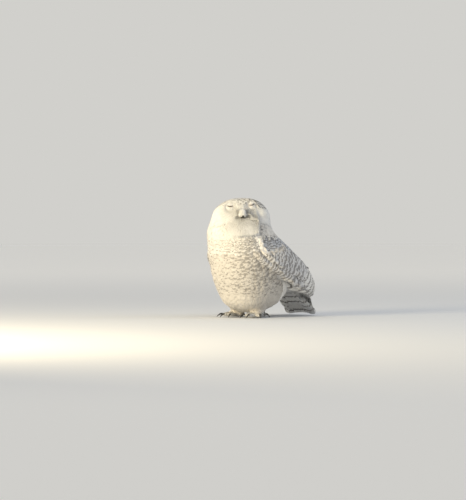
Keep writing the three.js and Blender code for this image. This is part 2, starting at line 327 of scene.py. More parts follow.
# Feathers bank up round each eye as far as the lids and towards the bill, and part in a line along the gape.
# The facial disc is flat out to a low rim along its sides and bottom, and the head falls away behind the rim.
BANK_HIGH, BANK_OUT, BANK_WIDE = 0.0036, 0.0185, 0.0085
GAPE_LOW, GAPE_BOW = 0.0125, 5.0  # how far under the head's middle the gape runs, and how its corners rise
GAPE_DEEP, GAPE_WIDE = 0.0028, 0.0036
DISC_HALF, DISC_MIDDLE, DISC_TALL = 0.049, -0.014, 0.063
FACE_PLANE = -0.0880  # the disc's place beside the bill
FACE_SLOPE = 0.06  # how it recedes to the sides
FACE_FILL = 0.0170  # the most that is added to reach it
RIM_DROP = 0.0035


def inside_disc(local):
    """How far places lie inside the facial disc's rim, seen from the front; below zero outside it."""
    down = (local[:, 2] - DISC_MIDDLE) / DISC_TALL
    square = np.where(down < 0, 6.0, 2.4)
    out = (np.abs(local[:, 0] / DISC_HALF) ** square + np.abs(down) ** square) ** (1 / square)
    return (1 - out) * DISC_HALF


local = in_head(plumage.co)
front = smoothstep(-0.03, -0.045, local[:, 1])
relief = np.zeros(len(local))
for side in (1, -1):
    gap = np.linalg.norm(local[:, [0, 2]] - EYE_PLACE[[0, 2]] * (side, 1), axis=1)
    relief += BANK_HIGH * np.exp(-((gap - BANK_OUT) / BANK_WIDE) ** 2) * front
x, y, z = local.T
gape_gap = z + GAPE_LOW - GAPE_BOW * x ** 2
relief -= GAPE_DEEP * np.exp(-(gape_gap / GAPE_WIDE) ** 2) * smoothstep(0.024, 0.019, np.abs(x)) * front
rim = smoothstep(0.010, -0.015, y) * smoothstep(0.035, 0.015, z)
rim = rim * (0.05 + 0.95 * smoothstep(-0.010, 0.020, x))  # the feathers of its right side lie flatter
within = inside_disc(local)
from_eye = np.hypot(np.abs(x) - EYE_PLACE[0], z - EYE_PLACE[2])
filled = np.clip(y - FACE_PLANE - FACE_SLOPE * np.abs(x), 0, FACE_FILL)
filled *= smoothstep(-0.002, 0.003, within) * smoothstep(0.024, -0.005, z)
filled *= smoothstep(0.014, 0.027 + 0.028 * smoothstep(0.016, 0.032, np.abs(x)), from_eye)
filled *= np.exp(-(np.minimum(x, 0) / 0.026) ** 2) * (y < 0)
relief += filled
relief -= RIM_DROP * smoothstep(0.002, -0.003, within) * np.exp(np.minimum(within, 0) / 0.016) * rim
for _ in range(3):
    relief = 0.5 * relief + 0.5 * average_around(relief)
raised = np.maximum(relief, 0)
plumage = outline_moved(plumage.co + plumage.normals * relief[:, None])

# ---- Skin ----
# One closed skin in place of all the flesh: thin, pale and grey with down. It lies under the line of the
# feather tips by the coat's depth, less where a blade of feathers is thin, and sinks behind the eyes.

COAT_DEPTH = {"head": 0.006, "neck": 0.008, "trunk": 0.0075, "tail": 0.003, "leg": 0.004, "foot": 0.0025,
              "wing": 0.0045}
FACE_SHALLOWER = 0.0025
BIB_SHALLOWER = 0.0045  # where the neck's feathers belong to the facial disc
SKIN_THINNEST = 0.3  # no more than this share of the local thickness is taken off
SKIN_THIN_END = 0.44  # of the local thickness, at the ends of tail and wings, which are all quill
QUILLS_PAST_SKIN = 0.018
SKIN_EVENING = 12
SKIN_THICK = 0.03  # where the flesh is thicker than this, it isn't thinned towards the quills
JUST_INSIDE = 0.0002
SOCKET_GAP = 0.0015
SOCKET_RADIUS = EYE_RADIUS * 0.8  # the skin behind an eye lies inside the ball

depth = np.array([COAT_DEPTH[str(part).split("_")[0]] for part in plumage_parts])
local = in_head(plumage.co)
face = smoothstep(-0.02, -0.05, local[:, 1]) * (plumage_parts == "head")
bib = smoothstep(-0.004, 0.006, inside_disc(local)) * (plumage_parts == "neck") * (local[:, 1] < 0)
sunk = depth - FACE_SHALLOWER * face - BIB_SHALLOWER * bib + raised
behind, _, closed = plumage.struck(plumage.co - plumage.normals * JUST_INSIDE, -plumage.normals)
thickness = np.where(closed, np.linalg.norm(behind - plumage.co, axis=1), 1.0)
sunk = np.minimum(sunk, SKIN_THINNEST * thickness)
is_quilled = (plumage_parts == "tail") | np.char.endswith(plumage_parts, "secondaries")
to_end = np.where(is_quilled, smoothstep(0.110, 0.165, plumage.co[:, 1]), 0.0)
sunk += to_end * np.maximum(SKIN_THIN_END * thickness - sunk, 0) * (thickness < SKIN_THICK)
for _ in range(SKIN_EVENING):
    sunk = 0.5 * sunk + 0.5 * average_around(sunk)
    to_end = 0.5 * to_end + 0.5 * average_around(to_end)
skin_co = plumage.co - plumage.normals * sunk[:, None]
skin_co += to_end[:, None] * QUILLS_PAST_SKIN * unit(np.array([0.0, -0.75, 0.65]))
for centre in EYES.values():
    offset = skin_co - centre
    gap = np.linalg.norm(offset, axis=1, keepdims=True)
    skin_co = np.where(gap < EYE_RADIUS + SOCKET_GAP, centre + offset / gap * SOCKET_RADIUS, skin_co)
skin.data.vertices.foreach_set("co", skin_co.ravel())
skin.data.update()

BODY_MIDDLE = -0.0687  # the upright line round which places on the body are measured, in Y


def around_body(points):
    """The angle round the body's middle line: 0 at the middle of the breast, 180 at that of the back."""
    return np.degrees(np.arctan2(np.abs(points[:, 0]), -(points[:, 1] - BODY_MIDDLE)))


def pale_edge(points):
    """How far places are on the white feathers along the folded wing's front edge, which also carry a painted
    highlight.
    """
    x, _, z = points.T
    half = 0.004 + 0.0045 * smoothstep(0.175, 0.235, z)
    edge = smoothstep(half + 0.003, half - 0.001, np.abs(from_wing_edge(points) - 0.003))
    edge = edge * smoothstep(0.154, 0.162, z)
    edge *= np.where(x > 0, 1 - np.exp(-((z - 0.184) / 0.009) ** 2), 0.3)  # broken; faint on the right wing
    return edge * (around_body(points) > 35) * smoothstep(0.262, 0.245, z)


def markings(points, parts):
    """How strong the brown bars are at each place, how many cross a feather, and how far they are spots."""
    x, y, z = points.T
    local = in_head(points)
    strength, count, spot = np.zeros(len(points)), np.full(len(points), 2.0), np.zeros(len(points))
    head, neck, trunk = parts == "head", parts == "neck", parts == "trunk"
    around = around_body(points)
    aside, backwards, above = local.T
    above = above + 0.5 * np.maximum(np.abs(aside) - 0.03, 0)
    crown = smoothstep(0.024, 0.031, above) * smoothstep(0.330, 0.345, z)
    # Painted light: the crown's spots are fainter on the head's right, where the key light falls, and
    # stronger on its shaded left.
    crown = crown * (1 - 0.6 * smoothstep(-0.005, -0.03, aside))
    patches = np.sin(aside / 0.0027 + 2.0 * np.sin(backwards / 0.006))
    patches = patches * np.sin(backwards / 0.0030 + above / 0.003)
    patches = smoothstep(-0.2, 0.4, patches) + 0.5 * smoothstep(0.036, 0.046, np.abs(aside))
    strength[head] = (0.85 * patches * crown * smoothstep(0.085, 0.045, backwards))[head]
    count[head], spot[head] = 1.6, 0.6
    back = smoothstep(50, 72, around)
    mantle = 0.52 * smoothstep(0.258, 0.244, z)
    breast = (0.24 + 0.30 * smoothstep(8, 48, around)) * smoothstep(0.262, 0.225, z)
    # Painted light: the breast's bars are fewer on its right, the side that the key light falls on.
    leftwards = 0.766 * x + 0.643 * (y - BODY_MIDDLE)
    breast *= 1 - 0.5 * smoothstep(-0.050, -0.095, leftwards)  # plainer on its right
    body = (breast * (1 - back) + mantle * back) * smoothstep(0.05, 0.09, z)
    body *= 1 - 0.5 * back * smoothstep(0.12, 0.07, z)
    strength[neck | trunk] = body[neck | trunk]
    # Painted shade: the neck's bars are stronger just under the disc's rim on the owl's left, for the shadow
    # in the crease there.
    below_disc = np.exp(-((inside_disc(local) + 0.008) / 0.006) ** 2) * smoothstep(-0.015, 0.02, aside)
    strength[neck] += (0.38 * below_disc * (local[:, 2] < -0.05) * (backwards < 0))[neck]
    count[trunk] = (2.0 + 0.3 * back)[trunk]
    wing = np.char.startswith(parts, "wing")
    strength[wing] = (0.44 + 0.08 * smoothstep(0.12, 0.15, z))[wing]
    count[wing] = 2.2
    strength *= 1 - 0.95 * pale_edge(points)
    strength[parts == "tail"] = 0.05
    return strength, count, spot


strength, _, _ = markings(plumage.co, plumage_parts)
skin.data.attributes.new("marking", "FLOAT", "POINT").data.foreach_set("value", strength)


class Nodes:
    """Short ways to add shader nodes and join them up."""

    def __init__(self, tree):
        self.tree = tree

    def plug(self, socket, value):
        if isinstance(value, bpy.types.NodeSocket):
            self.tree.links.new(value, socket)
        elif value is not None:
            socket.default_value = value

    def math(self, operation, a, b=None, c=None, clamp=False):
        node = self.tree.nodes.new("ShaderNodeMath")
        node.operation, node.use_clamp = operation, clamp
        for socket, value in zip(node.inputs, (a, b, c)):
            self.plug(socket, value)
        return node.outputs[0]

    def ramp(self, low, high, value):
        node = self.tree.nodes.new("ShaderNodeMapRange")
        node.interpolation_type = "SMOOTHSTEP"
        for socket, given in zip(node.inputs, (value, low, high, 0.0, 1.0)):
            self.plug(socket, given)
        return node.outputs[0]

    def mix(self, share, a, b):
        node = self.tree.nodes.new("ShaderNodeMix")
        node.data_type = "RGBA"
        self.plug(node.inputs[0], share)
        self.plug(node.inputs[6], a)
        self.plug(node.inputs[7], b)
        return node.outputs[2]

    def attribute(self, name, output="Vector"):
        node = self.tree.nodes.new("ShaderNodeAttribute")
        node.attribute_name = name
        return node.outputs[output]

    def split(self, vector):
        node = self.tree.nodes.new("ShaderNodeSeparateXYZ")
        self.plug(node.inputs[0], vector)
        return node.outputs

    def noise(self, scale, detail=2.0):
        node = self.tree.nodes.new("ShaderNodeTexNoise")
        self.plug(node.inputs["Vector"], self.tree.nodes.new("ShaderNodeTexCoord").outputs["Object"])
        node.inputs["Scale"].default_value, node.inputs["Detail"].default_value = scale, detail
        return node.outputs["Fac"]

    def bump(self, height, strength, distance):
        node = self.tree.nodes.new("ShaderNodeBump")
        node.inputs["Strength"].default_value, node.inputs["Distance"].default_value = strength, distance
        self.plug(node.inputs["Height"], height)
        return node.outputs[0]


def finish(name, colour, roughness, **inputs):
    """A material with its nodes and the sockets of its shader, and plain values on those sockets."""
    material = bpy.data.materials.new(name)
    material.use_nodes = True
    sockets = material.node_tree.nodes["Principled BSDF"].inputs
    sockets["Base Color"].default_value = (*colour, 1.0)
    sockets["Roughness"].default_value = roughness
    for socket, value in inputs.items():
        sockets[socket.replace("_", " ")].default_value = value
    return material, Nodes(material.node_tree), sockets


WHITE = (0.80, 0.79, 0.77, 1.0)
BROWN = (0.085, 0.072, 0.064, 1.0)
DOWN_GREY = (0.60, 0.585, 0.565, 1.0)

skin_finish, nodes, sockets = finish("downy skin", DOWN_GREY[:3], 0.95)
patches = nodes.ramp(0.52, 0.60, nodes.noise(90.0))
patches = nodes.math("MULTIPLY", patches, nodes.attribute("marking", "Fac"), clamp=True)
nodes.plug(sockets["Base Color"], nodes.mix(patches, nodes.mix(nodes.noise(400.0), DOWN_GREY, WHITE), BROWN))
nodes.plug(sockets["Normal"], nodes.bump(nodes.noise(900.0, 4.0), 0.6, 0.001))
skin.data.materials.clear()
skin.data.materials.append(skin_finish)
skin.data.polygons.foreach_set("use_smooth", np.ones(len(skin.data.polygons), bool))
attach(skin, "root")
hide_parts(*FLESH)

# ---- Lie of the coat ----
# Feathers run back from the bill over the head, down the breast, and back along the wings and tail. Their
# roots are spread evenly over the whole skin, closest on the face and feet, before any piece is made.

BILL_ROOT = np.array([0.0, -0.079, 0.008])  # in the head's frame
COAT_SEED = 7
ROOTS_TRIED = 9.0  # tries in each place as large as the square of the spacing
LID_CLEAR = 0.0144  # no root lies nearer than this to the middle of an eye


def spacing_at(points, parts):
    """The gap between one feather root and the next."""
    x, y, z = points.T
    local = in_head(points)
    gap = np.full(len(points), 0.0080)
    head, neck = parts == "head", parts == "neck"
    closer = 0.0019 - 0.0008 * smoothstep(0.040, 0.048, local[:, 2])
    gap[head] = (0.0036 - closer * smoothstep(-0.015, -0.05, local[:, 1]))[head]
    off_bib = np.where(local[:, 1] < 0, smoothstep(-0.002, -0.022, inside_disc(local)), 1)
    gap[neck] = (0.0021 + off_bib * (0.0017 + 0.0026 * smoothstep(0.290, 0.215, z)))[neck]
    trunk = parts == "trunk"
    gap[trunk] = (0.0066 + 0.0036 * smoothstep(-0.06, 0.02, y) * smoothstep(0.08, 0.18, z))[trunk]
    wing = np.char.startswith(parts, "wing")
    gap[wing] = (0.0078 + 0.0062 * smoothstep(-0.15, 0.06, y))[wing]
    gap[parts == "tail"] = 0.009
    gap[np.char.startswith(parts, "leg")] = 0.0030
    gap[np.char.startswith(parts, "foot")] = 0.0021
    return gap


def way_of_coat(points, normals, parts):
    """The way from root to tip, along the surface."""
    x, y, z = points.T
    ways = np.zeros_like(points)
    ways[:] = (0.0, 0.30, -1.0)
    back = smoothstep(-0.04, 0.05, y) * smoothstep(0.09, 0.18, z)
    ways += back[:, None] * np.array([0.0, 0.9, 0.1])
    ways += smoothstep(0.10, 0.03, z)[:, None] * np.array([0.0, 0.7, 0.1])
    local = in_head(points)
    from_bill = local - BILL_ROOT
    lean = smoothstep(0.0, 0.07, local[:, 1]) * 0.9 + smoothstep(-0.01, -0.05, local[:, 2]) * 0.5
    toward_body = np.array([0.0, 0.1, -1.0]) * lean[:, None]
    around_eyes = np.zeros_like(local)
    for side in (1, -1):
        offset = local - EYE_PLACE * (side, 1, 1)
        near = smoothstep(0.042, 0.016, np.linalg.norm(offset[:, [0, 2]], axis=1)) * (local[:, 1] < 0)
        around_eyes += near[:, None] * unit(offset * (1, 0, 1)) * 1.6
    over_head = unit(from_bill) + around_eyes
    head = parts == "head"
    ways[head] = (over_head @ HEAD_AXES.T + toward_body)[head]
    wing = np.char.startswith(parts, "wing")
    inward = smoothstep(0.02, 0.16, y) * 0.30
    ways[wing] = np.stack([-np.sign(x) * inward, np.full(len(x), 0.88), np.full(len(x), -0.42)], 1)[wing]
    ways[parts == "tail"] = (0.0, 0.62, -0.78)
    ways[np.char.startswith(parts, "foot")] = (0.0, -1.0, -0.25)
    ways[np.char.startswith(parts, "leg")] = (0.0, -0.15, -1.0)
    return unit(ways - normals * (ways * normals).sum(1, keepdims=True))


class Roots:
    """Feather roots: their places on the skin and on the outline over it, and which part they are on."""

    def __init__(self, inner, outer, normals, parts):
        self.inner, self.outer, self.normals, self.parts = inner, outer, normals, parts
        self.local = in_head(outer)

    def pick(self, chosen):
        return Roots(self.inner[chosen], self.outer[chosen], self.normals[chosen], self.parts[chosen])

    def __len__(self):
        return len(self.inner)


dice = np.random.default_rng(COAT_SEED)
gap_at_corner = spacing_at(plumage.co, plumage_parts)
tries = dice.poisson(ROOTS_TRIED * plumage.areas / gap_at_corner[plumage.tris].mean(1) ** 2)
faces = dice.permutation(np.repeat(np.arange(len(plumage.tris)), tries))
share = dice.random((2, len(faces)))
share = np.where(share.sum(0) > 1, 1 - share, share)
share = np.stack([1 - share.sum(0), share[0], share[1]], 1)[:, :, None]
tried_outer = (plumage.co[plumage.tris[faces]] * share).sum(1)
tried_inner = (skin_co[plumage.tris[faces]] * share).sum(1)
tried_normals = unit((plumage.normals[plumage.tris[faces]] * share).sum(1))
tried_gap = (gap_at_corner[plumage.tris[faces]] * share[:, :, 0]).sum(1)
places = tree_of(tried_outer)
crowded = np.zeros(len(faces), bool)
kept = []
for i, p in enumerate(tried_outer.tolist()):
    if not crowded[i]:
        kept.append(i)
        crowded[[found[1] for found in places.find_range(p, tried_gap[i])]] = True
nearest_corner = plumage.tris[faces[kept], share[kept, :, 0].argmax(1)]
coat = Roots(tried_inner[kept], tried_outer[kept], tried_normals[kept], plumage_parts[nearest_corner])
eye_gap = np.min([np.linalg.norm(coat.outer - centre, axis=1) for centre in EYES.values()], axis=0)
coat = coat.pick(eye_gap > LID_CLEAR)


def vane(barbs, slim, seed, ragged, splits):
    """A body feather's triangles. u runs across it from -1 to 1, v from root to tip, h stands off it.

    The web is closed beside the shaft. Its rounded edge is cut into barb ends, with a few deeper splits.
    """
    vary = np.random.default_rng(seed)
    points, triangles = [], []
    for side in (-1, 1):
        for i in range(barbs + 1):
            share = i / barbs
            start = 0.04 + 0.92 * share
            angle = math.radians(50 - 42 * share ** 1.2 + vary.uniform(-1.5, 1.5))
            step_u, step_v = math.sin(angle), math.cos(angle) / slim
            reach = 0.0
            while True:
                u, v = reach * step_u, start + reach * step_v
                round_end = ((max(v, 0.52) - 0.52) / 0.48) ** 2 + u * u
                if round_end > 1 or u > 0.30 + 0.70 * min(1.0, v / 0.5):
                    break
                reach += 0.01
            cut = vary.uniform(0.5, 1.0) if i % 2 else vary.uniform(0, 0.35)
            if i % 2 and vary.random() < splits:
                cut *= 2.5
            end = reach * (1 - ragged * cut)
            if i % 2 == 0:
                points.append((0.0, start, 0.05))
                points.append((side * 0.55 * end * step_u, start + 0.55 * end * step_v, 0.02))
            points.append((side * end * step_u, min(start + end * step_v, 1.0), vary.uniform(-0.04, 0.02)))
        first = len(points) - (barbs // 2 * 4 + 3)
        for i in range(0, barbs, 2):
            a = first + i * 2
            shaft, middle, edge, notch, next_shaft, next_middle, next_edge = range(a, a + 7)
            corners = [(shaft, middle, next_shaft), (next_shaft, middle, next_middle), (middle, edge, notch),
                       (middle, notch, next_middle), (next_middle, notch, next_edge)]
            triangles += [t if side > 0 else t[::-1] for t in corners]
    return np.array(points), np.array(triangles)


def vanes(kinds, barbs, length, width, ragged, splits):
    return [vane(barbs, length / width * 2, seed, ragged, splits) for seed in range(kinds)]


def tuft(hairs, fan, seed, sections=2, stout=1.25, stand=0.08):
    """A loose tuft: narrow strips from one root that spread towards their tips."""
    vary = np.random.default_rng(seed)
    points, triangles = [], []
    for i in range(hairs):
        aim = (2 * (i + 0.5) / hairs - 1) * fan + vary.uniform(-0.12, 0.12)
        length = vary.uniform(0.72, 1.0)
        thick = vary.uniform(0.8, 1.2) * stout / hairs
        rise = vary.uniform(-0.5, 1.0) * stand
        first = len(points)
        for k in range(sections):
            t = k / sections
            half = thick * (1 - 0.35 * t)
            middle = aim * t ** 1.3 * 0.9 + 0.25 * aim
            points.append((middle - half, length * t, rise * t - 0.02))
            points.append((middle + half, length * t, rise * t + 0.02))
        points.append((aim * 0.9 + 0.25 * aim, length, rise))
        for k in range(sections - 1):
            a = first + 2 * k
            triangles += [(a, a + 1, a + 3), (a, a + 3, a + 2)]
        last = first + 2 * (sections - 1)
        triangles.append((last, last + 1, last + 2))
    return np.array(points), np.array(triangles)


def laid_paths(roots, length, turn, steps):
    """Points and normals along each feather, laid over the outline from above its root."""
    place, normal = roots.outer, roots.normals
    way = way_of_coat(place, normal, roots.parts)
    way = way * np.cos(turn)[:, None] + np.cross(normal, way) * np.sin(turn)[:, None]
    points, normals = [place], [normal]
    for _ in range(steps):
        step = (length / steps)[:, None]
        ahead = place + way * step
        found, found_normal = plumage.nearest(ahead)
        off = np.linalg.norm(found - ahead, axis=1, keepdims=True) > 0.6 * step
        found = np.where(off, place + way * step * 0.3, found)  # past an edge, it creeps on a little
        found_normal = np.where(off, normal, found_normal)
        next_way = way_of_coat(found, found_normal, roots.parts)
        way = unit(way * 0.6 + next_way * 0.4)
        way = unit(way - found_normal * (way * found_normal).sum(1, keepdims=True))
        place, normal = found, found_normal
        points.append(place)
        normals.append(normal)
    return np.stack(points, 1), np.stack(normals, 1)


def sampled(track, share):
    """Values along each track (n, steps + 1, 3) at shares (n, m) of its length."""
    steps = track.shape[1] - 1
    at = np.clip(share * steps, 0, steps - 1e-6)
    low = at.astype(int)
    rows = np.arange(len(track))[:, None]
    part = (at - low)[:, :, None]
    return track[rows, low] * (1 - part) + track[rows, low + 1] * part


def unwrapped(points):
    """Places in a unit square: the points' directions from their middle, on an opened octahedron."""
    low, high = points.min(0), points.max(0)
    way = (points - (low + high) / 2) / np.maximum(high - low, 0.02)
    way = way / np.abs(way).sum(1, keepdims=True)
    folded = (1 - np.abs(way[:, [1, 0]])) * np.where(way[:, :2] >= 0, 1, -1)
    flat = np.where(way[:, 2:] < 0, folded, way[:, :2])
    return 0.5 + 0.485 * flat  # a narrow margin stays free


def mesh_of(name, points, triangles, vane_uv, bake_uv, marks, tones):
    mesh = bpy.data.meshes.new(name)
    mesh.vertices.add(len(points))
    mesh.vertices.foreach_set("co", points.astype(np.float32).ravel())
    mesh.loops.add(triangles.size)
    mesh.loops.foreach_set("vertex_index", triangles.astype(np.int32).ravel())
    mesh.polygons.add(len(triangles))
    mesh.polygons.foreach_set("loop_start", np.arange(0, triangles.size, 3, dtype=np.int32))
    mesh.polygons.foreach_set("use_smooth", np.ones(len(triangles), bool))
    for layer, uv in (("OFBake", bake_uv), ("vane", vane_uv)):
        uv = uv[triangles.ravel()].astype(np.float32).ravel()
        mesh.uv_layers.new(name=layer).data.foreach_set("uv", uv)
    for layer, values in (("marks", marks), ("tones", tones)):
        values = values.astype(np.float32).ravel()
        mesh.attributes.new(layer, "FLOAT_VECTOR", "POINT").data.foreach_set("vector", values)
    mesh.update(calc_edges=True)
    mesh.validate()
    return mesh


BOX_TOP, BOX_BOTTOM = np.array(cad_high), np.array(cad_low) + (0, 0, 0.0004)
NEAR_TOP, NEAR_BOTTOM = np.full(3, 0.003), np.array([0.003, 0.003, 0.002])  # where the pressing begins
PATCH = 0.003  # the side of a feather's place on the bake map, which is 1 wide
# Painted highlight: the white feathers on the wing's front edge are made brighter, as if catching the light.
EDGE_HIGHLIGHT = 0.25  # how much brighter the white feathers on the wing's front edge are
CRUMPLED = 0.62  # a feather that would end nearer to its root than this share of its length is left out


def kept_in_box(points):
    """The points pressed together near the sides of the frame's box, so that none passes them."""
    over = np.maximum(points - (BOX_TOP - NEAR_TOP), 0)
    points = np.where(over > 0, BOX_TOP - NEAR_TOP * np.exp(-over / NEAR_TOP), points)
    under = np.maximum(BOX_BOTTOM + NEAR_BOTTOM - points, 0)
    return np.where(under > 0, BOX_BOTTOM + NEAR_BOTTOM * np.exp(-under / NEAR_BOTTOM), points)


def grown(name, templates, paths, normals, width, depth, tip, marks, tones, seed, roll, arch=0.25, fall=1.2,
          patch=PATCH):
    """One mesh of a feather along each path; depth is how far its root lies under the path, tip its end."""
    vary = np.random.default_rng(seed)
    corner = unwrapped(paths[:, 0])
    n = len(paths)
    kind = vary.integers(0, len(templates), n)
    parts, total = [], 0
    for index, (shape, triangles) in enumerate(templates):
        mine = np.flatnonzero(kind == index)
        if not len(mine):
            continue
        u, v, h = shape.T
        share = np.broadcast_to(v, (len(mine), len(v)))
        centre, up = sampled(paths[mine], share), unit(sampled(normals[mine], share))
        along = unit(sampled(paths[mine], np.minimum(share + 0.15, 1.0)) - sampled(paths[mine], share - 0.1))
        across = unit(np.cross(along, up))
        half = (np.broadcast_to(width, n)[mine] / 2)[:, None]
        sinking = tip[mine][:, None] + (depth - tip)[mine][:, None] * (1 - v) ** fall
        raised = (h - arch * u * u) * half + np.tan(roll[mine])[:, None] * u * half
        points = centre + across * (u * half)[:, :, None] + up * (raised - sinking)[:, :, None]
        block = (np.arange(len(mine)) * len(v))[:, None, None]
        parts.append((
            points.reshape(-1, 3),
            (triangles[None] + block + total).reshape(-1, 3),
            np.tile(np.stack([u / 2 + 0.5, v], 1), (len(mine), 1)),
            (corner[mine][:, None] + patch * (np.stack([u / 2, v - 0.5], 1))[None]).reshape(-1, 2),
            np.repeat(marks[mine], len(v), 0),
            np.repeat(tones[mine], len(v), 0),
        ))
        total += len(mine) * len(v)
    joined = [np.concatenate(column) for column in zip(*parts)]
    joined[0] = kept_in_box(joined[0])
    return linked(name, mesh_of(name, *joined))


def dressed(obj, material):
    obj.data.materials.append(material)
    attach(obj, "root")
    return obj


def feathers(name, roots, templates, length, width, material, slot="white_plumage", *, seed, ruffle,
             swing=0.12, steps=3, bright=1.0, mark_scale=1.0, uneven=0.25, **shape):
    """One mesh of all the feathers on the roots; length and width are single or one for each root.

    Ruffle is how far they roll, swing how far they turn aside, and uneven how far their bars differ.
    """
    vary = np.random.default_rng(seed)
    n = len(roots)
    length = length * vary.uniform(0.88, 1.12, n)
    width = width * vary.uniform(0.90, 1.10, n)
    depth = np.linalg.norm(roots.inner - roots.outer, axis=1)
    tip = vary.uniform(0.0, 0.10, n) * depth
    paths, normals = laid_paths(roots, length, vary.normal(0, swing, n), steps)
    kept = np.linalg.norm(paths[:, -1] - paths[:, 0], axis=1) > CRUMPLED * length
    roots, bright, n = roots.pick(kept), np.broadcast_to(bright, n)[kept], kept.sum()
    paths, normals, width, depth, tip = (values[kept] for values in (paths, normals, width, depth, tip))
    seen = (paths[:, -1] + paths[:, -2]) / 2  # what the next feathers leave uncovered
    strength, count, spot = markings(seen, roots.parts)
    strength = strength * mark_scale * vary.uniform(1 - uneven, 1 + uneven, n)
    marks = np.stack([strength, count + vary.uniform(-0.2, 0.2, n), spot], 1)
    # Painted highlight on the white feathers along the wing's front edge.
    bright = bright * (1 + EDGE_HIGHLIGHT * pale_edge(seen) * ~np.char.startswith(roots.parts, "head"))
    tones = np.stack([vary.uniform(0.92, 1.06, n) * bright, np.zeros(n), vary.random(n)], 1)
    coat_piece = grown(name, templates, paths, normals, width, depth, tip, marks, tones, seed,
                       vary.normal(0, ruffle, n), **shape)
    return dressed(coat_piece, material)


def plumage_finish(name, white=WHITE, barb_lines=160.0, barb_height=0.0002, bars_from=0.35, ragged=0.10,
                   bar_share=0.78, drift=0.22, root_grey_and_shade=0.45):
    """Feather colour: white vanes with brown bars across them, greyer at the root for grey down and for
    painted shade under the overlapping feathers, finely lined by barbs.
    """
    material, nodes, sockets = finish(name, white[:3], 0.85, Sheen_Weight=0.15, Sheen_Roughness=0.5)
    u, v, _ = nodes.split(nodes.attribute("vane"))
    strength, count, spot = nodes.split(nodes.attribute("marks"))
    bright, grey, seed = nodes.split(nodes.attribute("tones"))
    aside = nodes.math("ABSOLUTE", nodes.math("MULTIPLY_ADD", u, 2.0, -1.0))
    bowed = nodes.math("MULTIPLY_ADD", nodes.math("POWER", aside, 2.0), 0.12, v)
    rough = nodes.math("MULTIPLY_ADD", nodes.noise(260.0, 3.0), ragged, -ragged / 2)
    phase = nodes.math("ADD", nodes.math("MULTIPLY", nodes.math("ADD", bowed, rough), count),
                       nodes.math("MULTIPLY", seed, drift))
    wave = nodes.math("ABSOLUTE", nodes.math("MULTIPLY_ADD", nodes.math("FRACT", phase), 2.0, -1.0))
    fade = nodes.math("MULTIPLY", spot, nodes.math("MULTIPLY", aside, 0.8))
    reach = nodes.math("SUBTRACT", strength, fade)
    bar = nodes.ramp(nodes.math("SUBTRACT", reach, 0.08), nodes.math("ADD", reach, 0.10), wave)
    bar = nodes.math("SUBTRACT", 1.0, bar, clamp=True)
    bar = nodes.math("MULTIPLY", bar, nodes.ramp(0.02, 0.14, reach))
    bar = nodes.math("MULTIPLY", bar, nodes.ramp(bars_from - 0.1, bars_from + 0.1, v))
    base = nodes.mix(grey, white, DOWN_GREY)
    # Greyer towards the root: grey down, and painted shade where the next feathers overlap.
    base = nodes.mix(nodes.ramp(0.45, 0.05, v), base, nodes.mix(root_grey_and_shade, white, DOWN_GREY))
    base = nodes.mix(nodes.math("MULTIPLY", bar, bar_share), base, BROWN)
    shade = nodes.tree.nodes.new("ShaderNodeHueSaturation")
    nodes.plug(shade.inputs["Color"], base)
    nodes.plug(shade.inputs["Value"], bright)
    nodes.plug(sockets["Base Color"], shade.outputs[0])
    slanted = nodes.math("SUBTRACT", v, nodes.math("MULTIPLY", aside, 0.35))
    lines = nodes.math("SINE", nodes.math("MULTIPLY", slanted, barb_lines))
    nodes.plug(sockets["Normal"], nodes.bump(lines, 0.35, barb_height))
    return material


# ---- Face ----
# Small, stiff, hair-like feathers, pure white, that stand round the eyes and run out over the facial disc.

FACE_EDGE = -0.030  # how far back the face reaches, in the head's frame
FACE_TOP = 0.044
FACE_LENGTH = 0.0085
FACE_WIDTH = 0.0025

soft_white = plumage_finish("soft white feather")
face_white = plumage_finish("face feather", (0.91, 0.905, 0.89, 1.0), root_grey_and_shade=0.05)
is_head, is_neck = coat.parts == "head", coat.parts == "neck"
disc_edge = dice.uniform(-0.014, 0.004, len(coat))  # uneven, so that face and neck don't part in a line
on_bib = is_neck & (inside_disc(coat.local) > disc_edge) & (coat.local[:, 1] < 0.0)
is_face = (is_head & (coat.local[:, 1] < FACE_EDGE) & (coat.local[:, 2] < FACE_TOP)) | on_bib
face = coat.pick(is_face)
x, y, z = face.local.T
from_eyes = np.min([np.linalg.norm(face.outer - centre, axis=1) for centre in EYES.values()], axis=0)
from_bill = np.linalg.norm(face.local - BILL_ROOT, axis=1)
# Painted shade: the tufts along the gape are darker, for the shadow in the crease between bill and chin.
gape_shade = np.abs(z + 0.0115 - GAPE_BOW * x ** 2) < 0.0042
gape_shade &= (np.abs(x) < 0.021) & (y < -0.05)
growth = 0.55 + 0.75 * smoothstep(0.014, 0.045, np.minimum(from_eyes, from_bill + 0.004))
growth += 0.35 * smoothstep(-0.025, -0.060, z)
# Painted light: the tufts on the owl's left of the face are a little brighter, against the shade on that
# side.
bright = np.where(gape_shade, 0.66, 1.0 + 0.05 * smoothstep(-0.005, 0.015, x))
feathers("face_feathers", face, [tuft(8, 0.70, seed, 3, 2.2, 0.03) for seed in range(4)],
         FACE_LENGTH * growth, FACE_WIDTH * (0.6 + 0.4 * growth), face_white, seed=21, ruffle=0.04,
         swing=0.14, steps=2, fall=1.6, arch=0.06, bright=bright)

# ---- Crown and nape ----
# Short rounded feathers over the back of the head, white with small brown spots at their tips.

CROWN_LENGTH = 0.0150
CROWN_WIDTH = 0.0085

